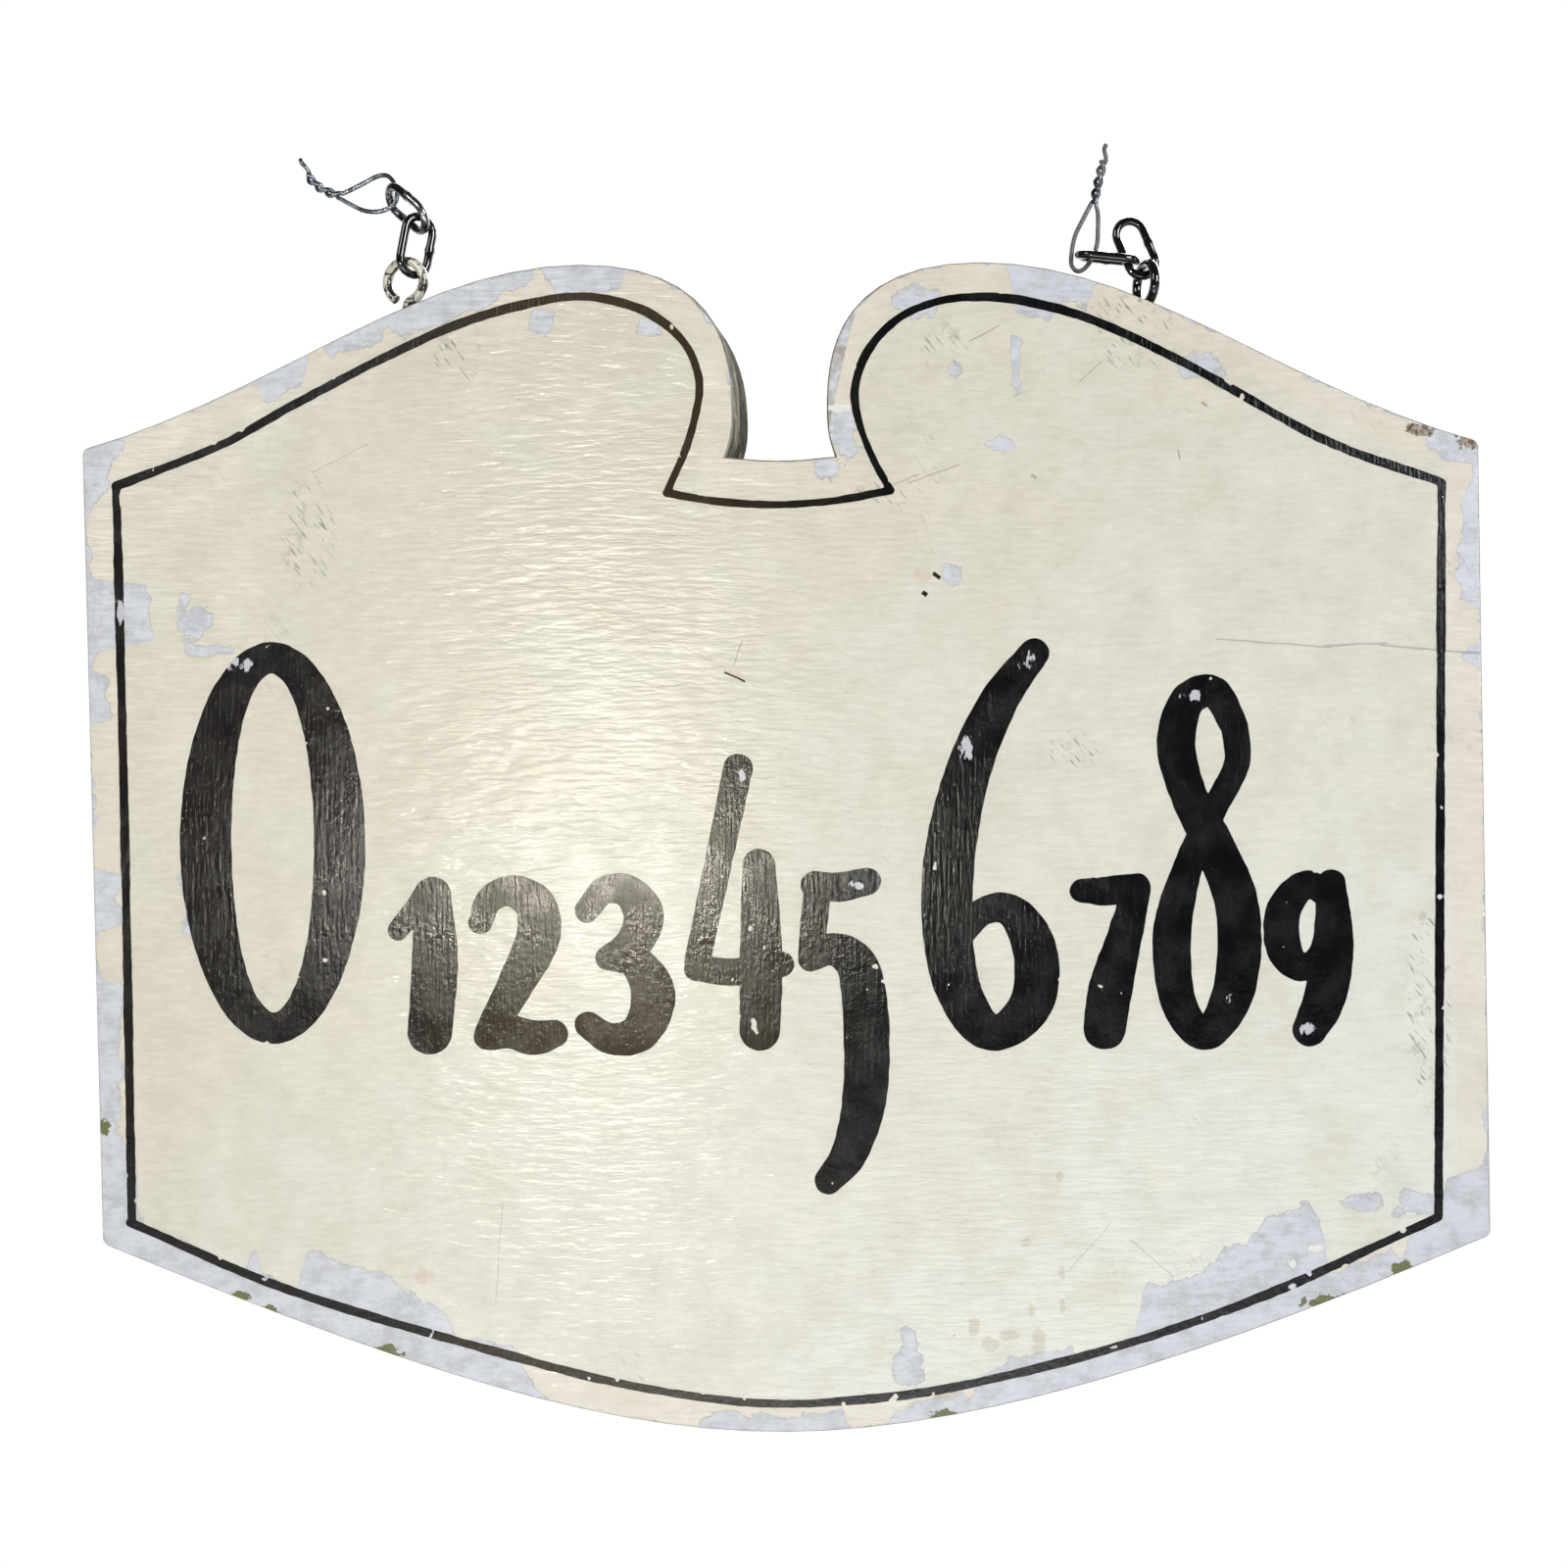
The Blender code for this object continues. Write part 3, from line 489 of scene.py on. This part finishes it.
def curve(s, value, marks):
    """A quantity that follows the marks, of place and quantity, as the value goes along them."""
    low, high = marks[0][0], marks[-1][0]
    least = min(mark[1] for mark in marks) - 0.001
    most = max(mark[1] for mark in marks) + 0.001
    made = s.make("ShaderNodeFloatCurve")
    points = made.mapping.curves[0].points
    while len(points) < len(marks):
        points.new(0.5, 0.5)
    for point, (place, amount) in zip(points, marks):
        point.location = ((place - low) / (high - low), (amount - least) / (most - least))
        point.handle_type = "VECTOR"
    made.mapping.update()
    s.feed(made.inputs["Value"], s.math("MULTIPLY_ADD", value, 1 / (high - low), -low / (high - low)))
    return s.math("MULTIPLY_ADD", made.outputs[0], most - least, least)


def edges(s):
    """Distances from the top, bottom, left and right edge and from the notch."""
    top = s.math("SUBTRACT", curve(s, s.x, edge_marks(True)), s.z)
    bottom = s.math("SUBTRACT", s.z, curve(s, s.x, edge_marks(False)))
    run = s.math("SUBTRACT", SHOULDER_Z, s.z)
    left = s.math("SUBTRACT", s.x, s.math("MULTIPLY_ADD", run, LEFT_LEAN, -HALF_WIDTH))
    right = s.math("SUBTRACT", s.math("MULTIPLY_ADD", run, RIGHT_LEAN, HALF_WIDTH), s.x)
    beside_notch = s.math("SUBTRACT", s.math("ABSOLUTE", s.x), NOTCH_HALF_WIDTH)
    notch = s.math("MAXIMUM", beside_notch, s.math("SUBTRACT", NOTCH_FLOOR_Z, s.z))
    return top, bottom, left, right, notch


def least(s, values):
    """The smallest of some values."""
    total = values[0]
    for value in values[1:]:
        total = s.math("MINIMUM", total, value)
    return total


def spots(s, places):
    """How far the nearest of some oval spots is: 0 in its middle and 1 on its rim. Places are x, z, half
    width and half height in millimetres."""
    radii = []
    for x, z, wide, high in places:
        moved = s.make("ShaderNodeVectorMath", {0: s.place, 1: (1000 / wide, 0, 1000 / high),
                                                2: (-x / wide, 0, -z / high)}, operation="MULTIPLY_ADD")
        length = s.make("ShaderNodeVectorMath", {0: moved.outputs[0]}, operation="LENGTH")
        radii.append(length.outputs["Value"])
    return least(s, radii)


def lines(s, place, runs):
    """1 on any of some thin straight lines and 0 beside them. Runs are x, z, x, z and half width in
    millimetres."""
    total = 0.0
    for x0, z0, x1, z1, half in runs:
        start = Vector((x0, 0, z0)) * MM
        span = Vector((x1 - x0, 0, z1 - z0)) * MM
        way = span / span.length_squared
        side = Vector((-span.z, 0, span.x)).normalized()
        along = s.make("ShaderNodeVectorMath", {0: place, 1: way}, operation="DOT_PRODUCT").outputs["Value"]
        off = s.make("ShaderNodeVectorMath", {0: place, 1: side}, operation="DOT_PRODUCT").outputs["Value"]
        within = s.math("COMPARE", along, start.dot(way) + 0.5, 0.5)
        one = s.math("MULTIPLY", s.math("COMPARE", off, start.dot(side), half * MM), within)
        total = s.math("MAXIMUM", total, one)
    return total


# How deep the enamel has flaked along each edge, as marks of place along the edge and depth, in millimetres
TOP_FLAKES = [(-384, 20), (-366, 18), (-352, 0), (-286, 0), (-281, 16), (-260, 18), (-256, 0), (-248, 2),
              (-244, 11), (-222, 13), (-214, 8), (-208, 16), (-160, 17), (-150, 12), (-138, 7), (-132, 0),
              (-122, 15), (-88, 15), (-84, 0), (124, 0), (129, 26), (147, 28), (152, 17), (168, 16),
              (172, 2), (180, 0), (345, 0), (354, 14), (384, 16)]
BOTTOM_FLAKES = [(-384, 30), (-355, 28), (-345, 18), (-295, 17), (-289, 34), (-285, 18), (-266, 18),
                 (-260, 42), (-205, 40), (-186, 30), (-176, 18), (-168, 27), (-148, 24), (-142, 12),
                 (-126, 0), (-50, 0), (-44, 9), (30, 11), (36, 0), (56, 0), (60, 8), (95, 14), (100, 6),
                 (108, 22), (155, 24), (160, 15), (190, 17), (196, 46), (206, 40), (234, 42), (238, 50),
                 (254, 48), (262, 58), (285, 58), (292, 48), (297, 14), (330, 16), (336, 6), (342, 20),
                 (384, 36)]
LEFT_FLAKES = [(-560, 22), (-478, 18), (-462, 9), (-452, 13), (-386, 14), (-382, 3), (-357, 3),
               (-352, 15), (-327, 16), (-322, 1), (-246, 1), (-241, 11), (-218, 12), (-214, 3), (-204, 6),
               (-198, 36), (-168, 34), (-164, 2), (-132, 3), (-120, 8), (-112, 17), (-80, 16)]
RIGHT_FLAKES = [(-560, 30), (-496, 26), (-490, 4), (-470, 2), (-440, 0), (-218, 0), (-214, 11),
                (-207, 12), (-203, 2), (-186, 2), (-180, 12), (-152, 13), (-142, 7), (-130, 10),
                (-116, 4), (-80, 8)]
FLAKES_INSIDE = [(-321, -187, 9, 10), (-311, -204, 12, 4), (-322, -338, 7, 15), (-130, -25, 7, 6),
                 (-71, -29, 8, 6), (76, -17, 13, 7), (129, -50, 3, 14), (231, -53, 13, 7),
                 (34, -87, 10, 13), (25, -107, 10, 6), (68, -594, 8, 14), (346, -509, 14, 7),
                 (314, -508, 11, 5), (93, -166, 6, 5), (121, -93, 7, 4), (96, -54, 4, 5)]
# Other marks, as oval spots and as thin lines
OLIVE_CHIPS = [(-371, -463, 4, 4), (-220, -588, 10, 4), (-296, -556, 6, 3), (-281, -564, 6, 3),
               (87, -625, 9, 4), (296, -563, 14, 4), (337, -545, 6, 4)]
WOOD_CHIPS = [(350, -88, 8, 4), (377, -93, 7, 6)]
PINK_CHIPS = [(-24, -218, 4.5, 3), (78, -166, 6, 3), (-198, -546, 5, 5)]
WHITE_DABS = [(32, -74, 8, 2.5), (289, -534, 4, 2.5), (277, -542, 3, 3), (224, -536, 3, 2)]
DRIPS = [(112, -585, 5, 4), (122, -580, 6, 3), (138, -583, 4, 8), (134, -567, 2.5, 4), (103, -575, 3, 5),
         (151, -546, 2, 4), (151, -565, 2, 4), (150, -494, 2, 3), (131, -530, 3, 3), (88, -612, 8, 3)]
SCUFFS = [(-258, -140, 16, 34), (-176, -42, 14, 20), (193, -32, 26, 26), (160, -262, 16, 12),
          (352, -400, 14, 60), (60, -120, 20, 8), (90, -40, 14, 16)]
SCUFF_LEAN = radians(38)
# How far the thin lines wander to either side
SHAKE = 0.0008
SCRATCHES = [(-155, -152, -27, -217, 0.13), (-21, -200, -26, -214, 0.35), (154, -546, 178, -519, 0.15),
             (-154, -506, -158, -560, 0.2), (212, -549, 188, -528, 0.2), (-64, -270, -46, -264, 0.15),
             (53, -119, 76, -110, 0.3), (-255, -107, -225, -92, 0.2), (104, -38, 120, -29, 0.4),
             (70, -115, 98, -105, 0.3), (163, -61, 176, -49, 0.3), (217, -98, 218, -103, 0.5),
             (137, -111, 140, -113, 0.9), (230, -72, 233, -74, 0.8)]
SLITS = [(-31, -217.5, -20, -222.5, 0.5), (-5, -395, -2, -401, 0.5), (83, -164.5, 87, -167, 1.1),
         (77, -174.5, 79.5, -176.5, 1.2)]
CRACKS = [(237, -201, 300, -206, 0.4), (296, -205, 330, -204, 0.5), (326, -205, 382, -210, 0.5)]
# Where the black paint is rubbed and carries a painted grey sheen, as oval spots
RUBBED_AND_SHEEN_SPOTS = [(-296, -212, 16, 9), (-22, -274, 8, 8), (136, -214, 10, 12), (222, -232, 12, 7),
          (100, -260, 9, 16), (-205, -342, 9, 6), (286, -414, 9, 6), (244, -395, 6, 14),
          (40, -334, 12, 5), (-360, -182, 6, 18)]


def in_metres(marks):
    """Marks of place and amount, from millimetres to metres."""
    return [(place * MM, amount * MM) for place, amount in marks]


def cream_paint(s, seed, edge, strokes, cloud):
    """Cream enamel: warmer at the upper left, paler at the lower right, partly as painted light, and pinkish
    in a strip along the edge."""
    wide_cloud = s.noise(13, detail=3, offset=seed + 6)
    # Partly painted light: the cream runs paler towards the lower right, where the face is lit more, on top
    # of its own warmer and cooler tones
    lean = s.math("MULTIPLY_ADD", s.x, 0.9, s.math("MULTIPLY", s.z, -1.3))
    lean = s.math("MULTIPLY_ADD", wide_cloud, 0.9, lean)
    cream = s.mix(s.ramp(lean, 0.55, 0.95), (0.70, 0.662, 0.568), (0.72, 0.715, 0.645))
    cream = s.mix(s.ramp(lean, 0.95, 1.35), cream, (0.765, 0.78, 0.745))
    cream = s.mix(s.ramp(wide_cloud, 0.50, 0.66, 0.0, 0.5), cream, (0.70, 0.70, 0.60))
    cream = s.mix(s.ramp(edge, 0.0165, 0.0185, 0.6, 0.0), cream, (0.76, 0.70, 0.61))
    cream = s.mix(s.ramp(cloud, 0.42, 0.70, 0.0, 0.35), cream, (0.60, 0.575, 0.475))
    cream = s.mix(s.ramp(cloud, 0.50, 0.28, 0.0, 0.35), cream, (0.82, 0.80, 0.72))
    cream = s.mix(s.ramp(strokes, 0.45, 0.70, 0.0, 0.30), cream, (0.84, 0.81, 0.73))
    return s.mix(s.ramp(strokes, 0.50, 0.30, 0.0, 0.15), cream, (0.56, 0.54, 0.45))


def flake_depth(s, seed, marked, edge, distances):
    """How far inside a flaked patch a place is, in metres. Below 0 the enamel is still there."""
    depth = s.math("MULTIPLY", edge, -1.0)
    if marked:
        flaked_edges = ((s.x, TOP_FLAKES), (s.x, BOTTOM_FLAKES), (s.z, LEFT_FLAKES), (s.z, RIGHT_FLAKES))
        for distance, (place, marks) in zip(distances, flaked_edges):
            reach = s.math("SUBTRACT", curve(s, place, in_metres(marks)), distance)
            depth = s.math("MAXIMUM", depth, reach)
        inside = s.math("MULTIPLY_ADD", spots(s, FLAKES_INSIDE), -0.006, 0.006)
        depth = s.math("MAXIMUM", depth, inside)
    else:
        depth = s.math("ADD", depth, s.ramp(s.noise(9, detail=3, offset=seed), 0.45, 0.65, 0.0, 0.03))
    shape = s.noise(60, detail=5, rough=0.62, warp=0.4, offset=seed)
    return s.math("MULTIPLY_ADD", s.math("SUBTRACT", shape, 0.5), 0.022, depth)


def scuffed_paint(s, seed, marked, colour, edge, smudge, cloud, fine):
    """A colour with short leaning scuffs, blotches and specks on it, dirt in patches, and a thin band along
    its edge darkened as painted shade of the rounded edge.
    """
    leaning = s.make("ShaderNodeVectorRotate", {"Vector": s.place, "Angle": SCUFF_LEAN},
                     rotation_type="Y_AXIS")
    leaning = s.make("ShaderNodeVectorMath", {0: leaning.outputs[0], 1: (650, 1, 95)}, operation="MULTIPLY")
    dashes = s.ramp(s.noise(1.0, detail=1, vector=leaning.outputs[0], offset=seed), 0.60, 0.68)
    scuffed = s.ramp(s.noise(16, detail=2, offset=seed + 5), 0.60, 0.75, 0.0, 0.35)
    if marked:
        scuffed = s.math("MAXIMUM", scuffed, s.ramp(spots(s, SCUFFS), 0.7, 1.1, 0.8, 0.0))
    colour = s.mix(s.math("MULTIPLY", dashes, scuffed), colour, (0.28, 0.28, 0.25))
    share = s.math("ADD", 0.06, s.math("MULTIPLY", scuffed, 0.4))
    colour = s.mix(s.math("MULTIPLY", s.ramp(smudge, 0.56, 0.66), share), colour, (0.36, 0.35, 0.30))
    colour = s.mix(s.ramp(fine, 0.745, 0.77, 0.0, 0.55), colour, (0.25, 0.23, 0.20))
    # Painted shade and dirt: a thin band along the edge, darkened as the shade of the rounded edge, and dirt
    # in patches where the cloud is high
    edge_shade_and_dirt = s.math("ADD", s.ramp(edge, 0.0, 0.0012, 0.42, 0.0), s.math("MULTIPLY", cloud, 0.9))
    return s.mix(s.ramp(edge_shade_and_dirt, 0.70, 0.85, 0.0, 0.75), colour, (0.33, 0.28, 0.21))


def placed_marks(s, colour, fine):
    """The colour with the front's single marks on it, and how much each place is cut into."""
    ragged = s.math("MULTIPLY_ADD", s.noise(180, detail=4, rough=0.7), 3.0, -1.5)

    def spotted(places, low, high, most, raggedness=1.0):
        rim = s.math("MULTIPLY_ADD", ragged, raggedness, spots(s, places))
        return s.ramp(rim, low, high, most, 0.0)

    colour = s.mix(spotted(DRIPS, 0.8, 1.05, 0.45, 0.8), colour, (0.55, 0.48, 0.35))
    colour = s.mix(spotted(PINK_CHIPS, 0.7, 1.1, 0.7), colour, (0.68, 0.56, 0.50))
    colour = s.mix(spotted(WHITE_DABS, 0.85, 1.0, 0.9), colour, (0.84, 0.83, 0.79))
    olive = spotted(OLIVE_CHIPS, 0.95, 1.05, 1.0)
    colour = s.mix(olive, colour, (0.155, 0.17, 0.075))
    bare = spotted(WOOD_CHIPS, 0.95, 1.05, 1.0)
    wood = s.mix(s.ramp(fine, 0.4, 0.6), (0.12, 0.09, 0.07), (0.42, 0.34, 0.28))
    colour = s.mix(bare, colour, wood)

    jitter = s.make("ShaderNodeTexNoise", {"Vector": s.place, "Scale": 60.0, "Detail": 2.0}).outputs[1]
    shaken = s.make("ShaderNodeVectorMath", {0: jitter, 1: (2 * SHAKE,) * 3, 2: s.place},
                    operation="MULTIPLY_ADD")
    shaken = s.make("ShaderNodeVectorMath", {0: shaken.outputs[0], 1: (SHAKE,) * 3}, operation="SUBTRACT")
    shaken = shaken.outputs[0]
    colour = s.mix(s.math("MULTIPLY", lines(s, shaken, SCRATCHES), 0.6), colour, (0.30, 0.27, 0.22))
    cracks = lines(s, shaken, CRACKS)
    colour = s.mix(s.math("MULTIPLY", cracks, 0.6), colour, (0.34, 0.35, 0.38))
    slits = lines(s, shaken, SLITS)
    # Near black in the slits: painted shade deep in the cuts
    colour = s.mix(slits, colour, (0.03, 0.022, 0.02))
    return colour, s.math("MAXIMUM", s.math("MAXIMUM", olive, bare), s.math("MAXIMUM", slits, cracks))


def edge_walls(s, seed, marked, cloud):
    """The old paint on the boards' edge walls, darker on the rear board as painted shade, with a near black
    line of painted shade along the seam between the boards, and where it shows.
    """
    facing = s.make("ShaderNodeSeparateXYZ", {"Vector": s.make("ShaderNodeNewGeometry").outputs["Normal"]})
    wall = s.ramp(s.math("ABSOLUTE", facing.outputs[1]), 0.45, 0.75, 1.0, 0.0)
    old = s.noise((60, 150, 60), detail=4, rough=0.65, offset=seed)
    if marked:
        paint = s.mix(s.ramp(old, 0.4, 0.6), (0.10, 0.088, 0.060), (0.27, 0.25, 0.19))
    else:
        # The rear board's walls: the same olive paint, made much darker as painted shade
        paint = s.mix(s.ramp(old, 0.4, 0.6), (0.030, 0.026, 0.014), (0.12, 0.105, 0.065))
    paint = s.mix(s.ramp(old, 0.60, 0.63, 0.0, 0.6), paint, (0.50, 0.47, 0.38))
    # Painted shade: the boards touch, and a near black line along the seam, wider in places, stands in for
    # the shade in a gap between them
    from_seam = s.math("ABSOLUTE", s.math("SUBTRACT", s.y, SEAM_Y))
    seam = s.math("LESS_THAN", from_seam, s.math("MULTIPLY_ADD", cloud, 0.0040, 0.0002))
    return s.mix(seam, paint, (0.008, 0.007, 0.006)), wall


def enamel(name, seed, marked):
    """Cream enamel over a lavender coat, flaked along the edges. Marked is for the front, whose flakes and
    marks have their places."""
    s = Shader(name)
    distances = edges(s)
    edge = least(s, distances)
    strokes = s.noise((95, 300, 470), detail=4, rough=0.6, offset=seed)
    cloud = s.noise(38, detail=4, rough=0.65, offset=seed + 3)
    smudge = s.noise(90, detail=4, rough=0.7, offset=seed + 9)
    fine = s.noise(420, detail=2, offset=seed)

    depth = flake_depth(s, seed, marked, edge, distances)
    flaked = s.ramp(depth, 0.0, 0.0003)
    shade = s.ramp(s.math("MULTIPLY_ADD", strokes, 0.5, smudge), 0.6, 0.95)
    lavender = s.mix(shade, (0.66, 0.685, 0.76), (0.52, 0.54, 0.595))
    # Painted shade: a thin grey line round each flaked patch, where the enamel's edge steps down to the coat
    # below
    rim = s.ramp(s.math("ABSOLUTE", s.math("SUBTRACT", depth, 0.0004)), 0.0, 0.0007, 0.45, 0.0)
    colour = s.mix(flaked, cream_paint(s, seed, edge, strokes, cloud), lavender)
    colour = s.mix(rim, colour, (0.42, 0.41, 0.40))
    colour = scuffed_paint(s, seed, marked, colour, edge, smudge, cloud, fine)
    dents = flaked
    if marked:
        colour, deep = placed_marks(s, colour, fine)
        dents = s.math("ADD", flaked, deep)
    wall_paint_and_shade, wall = edge_walls(s, seed, marked, cloud)
    colour = s.mix(wall, colour, wall_paint_and_shade)

    ridges = s.noise((50, 150, 230), detail=2, offset=seed)
    grain = s.math("ADD", s.math("MULTIPLY", strokes, 0.25), s.math("MULTIPLY", ridges, 0.75))
    normal = s.bump(grain, 0.0016, 1.0)
    normal = s.bump(s.math("SUBTRACT", 2.0, dents), 0.00025, 0.8, normal)
    rough = s.math("MULTIPLY_ADD", flaked, 0.12, s.ramp(cloud, 0.3, 0.7, 0.15, 0.25))
    return s.finish(colour, s.math("MAXIMUM", rough, wall), normal)


def flakes(s, patch_scale, fleck_scale, rarity, offset=0):
    """Flecks where paint has come off: many where a patch is worn, and nearly none elsewhere."""
    patch = s.ramp(s.noise(patch_scale, detail=3, offset=offset + 11), 0.45, 0.75, 0.0, 0.16)
    fleck = s.math("ADD", s.noise(fleck_scale, detail=4, rough=0.6, offset=offset), patch)
    return s.ramp(fleck, rarity, rarity + 0.012)


def black_brushed():
    """Black brushed enamel with a few flecks of what lies under it. It is painted charcoal on the left as
    painted light, brownish across the middle as a painted glare highlight, and a painted grey sheen on
    rubbed spots.
    """
    s = Shader("black_brushed_enamel")
    # Painted light: the black is lighter (charcoal) on the left, where the light falls, and darkest on the
    # right
    shade = s.ramp(s.x, -0.26, 0.16)
    colour = s.mix(shade, (0.009, 0.0075, 0.008), (0.0012, 0.0018, 0.0028))
    # Painted highlight: a brownish band across the middle of the sign, where the glare lamp's highlight
    # falls on the black
    browned = s.math("MULTIPLY", s.ramp(s.x, -0.23, -0.13), s.ramp(s.x, -0.08, 0.06, 1.0, 0.0))
    colour = s.mix(browned, colour, (0.042, 0.031, 0.017))
    drag = s.noise((520, 60, 55), detail=5, rough=0.6)
    colour = s.mix(s.ramp(drag, 0.55, 0.80, 0.0, 0.2), colour, (0.04, 0.038, 0.036))
    worn = flakes(s, 24, 240, 0.85)
    tops = s.math("ADD", s.noise((160, 90, 60), detail=5, rough=0.65, offset=5),
                  s.ramp(spots(s, RUBBED_AND_SHEEN_SPOTS), 0.0, 1.2, 0.34, 0.0))
    # Rubbed spots and noise tops: wear shown as a bluish grey painted sheen
    rubbed = s.ramp(tops, 0.79, 0.82)
    colour = s.mix(rubbed, colour, (0.55, 0.56, 0.62))
    colour = s.mix(worn, colour, (0.66, 0.63, 0.54))
    pebbles = s.noise(330, detail=2)
    normal = s.bump(s.math("ADD", drag, s.math("MULTIPLY", pebbles, 0.6)), 0.0005, 0.6)
    rough = s.ramp(s.noise(60, detail=4), 0.3, 0.7, 0.16, 0.30)
    return s.finish(colour, rough, normal)


# Hangers and screws

def cracked_cream():
    """Cream paint over black, cracked and partly gone, on the left screw eye."""
    s = Shader("cracked_cream_paint")
    jitter = s.make("ShaderNodeTexNoise", {"Vector": s.place, "Scale": 200.0, "Detail": 3.0}).outputs[1]
    bent = s.make("ShaderNodeVectorMath", {0: jitter, 1: (0.006,) * 3, 2: s.place}, operation="MULTIPLY_ADD")
    cells = s.make("ShaderNodeTexVoronoi", {"Vector": bent.outputs[0], "Scale": 110.0},
                   feature="DISTANCE_TO_EDGE")
    crack = s.ramp(cells.outputs[0], 0.02, 0.06, 1.0, 0.0)
    bald = s.ramp(s.noise(75, detail=3, rough=0.6), 0.53, 0.55)
    gone = s.math("MAXIMUM", crack, bald)
    tone = s.mix(s.noise(110, detail=3), (0.86, 0.83, 0.74), (0.52, 0.50, 0.43))
    colour = s.mix(gone, tone, s.mix(s.noise(60, detail=2), (0.004, 0.004, 0.004), (0.05, 0.048, 0.036)))
    normal = s.bump(s.math("SUBTRACT", 1.0, gone), 0.0005, 0.7)
    s.principled.inputs["Coat Weight"].default_value = 1.0
    s.principled.inputs["Coat Roughness"].default_value = 0.08
    return s.finish(colour, s.ramp(gone, 0.0, 1.0, 0.40, 0.16), normal)


def chipped_black(name, bare, flake_colour, seed):
    """Thick glossy black paint on steel. Bare is how much is rubbed down to bright steel, from 0 to 1."""
    s = Shader(name)
    runs = s.noise((130, 130, 60), detail=2, offset=seed)
    colour = s.mix(runs, (0.0015, 0.0015, 0.0015), (0.006, 0.0055, 0.005))
    fleck = flakes(s, 60, 260, 0.80, offset=seed)
    colour = s.mix(fleck, colour, flake_colour)
    threshold = 0.80 - 0.35 * bare
    rubbed = s.ramp(s.noise(80, detail=3, rough=0.6, offset=seed + 20), threshold, threshold + 0.015)
    steel = s.mix(s.noise(300, detail=3), (0.22, 0.23, 0.245), (0.52, 0.54, 0.57))
    colour = s.mix(rubbed, colour, steel)
    off = s.math("MAXIMUM", fleck, rubbed)
    normal = s.bump(runs, 0.0012, 0.5)
    normal = s.bump(s.math("SUBTRACT", 1.0, off), 0.0003, 0.6, normal)
    s.principled.inputs["Coat Weight"].default_value = 1.0
    s.principled.inputs["Coat Roughness"].default_value = 0.05
    return s.finish(colour, s.ramp(off, 0.0, 1.0, 0.09, 0.22), normal, rubbed)


def zinc_wire(name, bright_range=None):
    """Bright galvanised wire, with dirt in places, and dulled outside a range of heights."""
    s = Shader(name)
    spangle = s.noise(250, detail=3, rough=0.6)
    colour = s.mix(s.ramp(spangle, 0.3, 0.7), (0.10, 0.115, 0.135), (0.36, 0.39, 0.44))
    dirt = s.ramp(s.noise(130, detail=3, rough=0.6, offset=8), 0.52, 0.60, 0.0, 0.8)
    colour = s.mix(dirt, colour, (0.05, 0.05, 0.055))
    rough = s.ramp(spangle, 0.3, 0.7, 0.24, 0.38)
    metallic = 0.9
    if bright_range:
        low, high = bright_range
        below = s.ramp(s.z, low, low + 0.012, 0.85, 0.0)
        above = s.ramp(s.z, high, high + 0.006, 0.0, 0.85)
        dull = s.math("ADD", below, above)
        colour = s.mix(dull, colour, (0.15, 0.143, 0.13))
        rough = s.math("MULTIPLY_ADD", dull, 0.2, rough)
        metallic = s.math("MULTIPLY_ADD", dull, -0.9, 0.9)
    normal = s.bump(s.noise((400, 400, 150), detail=2), 0.0003, 0.5)
    return s.finish(colour, rough, normal, metallic)


def screw_steel():
    """Old plated screws, browned in patches."""
    s = Shader("old_screw_steel")
    rust = s.noise(260, detail=6, rough=0.65)
    colour = s.mix(s.ramp(rust, 0.45, 0.60), (0.42, 0.41, 0.38), (0.10, 0.065, 0.04))
    normal = s.bump(rust, 0.0003, 0.6)
    rough = s.ramp(rust, 0.45, 0.60, 0.35, 0.75)
    return s.finish(colour, rough, normal, s.ramp(rust, 0.50, 0.60, 0.9, 0.2))


def main():
    camera()
    surroundings()
    dress("front_board", enamel("front_enamel_worn", 0, True))
    dress("rear_board", enamel("rear_enamel_worn", 40, False))
    steel = screw_steel()
    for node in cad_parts:
        if node.endswith("_screw"):
            dress(node, steel)
    black = chipped_black("glossy_black_paint", 0.25, (0.55, 0.50, 0.38), 2)
    dress("left_screw_eye", cracked_cream())
    dress("left_lower_link", black)
    dress("left_upper_link", chipped_black("worn_black_paint", 0.85, (0.55, 0.53, 0.46), 9))
    for node in ("right_screw_eye", "right_lower_link", "right_upper_link"):
        dress(node, black)
    dress("left_tie_wire", zinc_wire("bright_galvanised_wire"))
    dress("right_tie_wire", zinc_wire("part_dull_galvanised_wire", (0.034, 0.056)))
    shading = smooth_shading(SHARP_FROM)
    for name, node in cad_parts.items():
        if not name.endswith("_board"):
            node.modifiers.new("shading", "NODES").node_group = shading
    ink = black_brushed()
    numerals(ink)
    border_line(ink)


main()
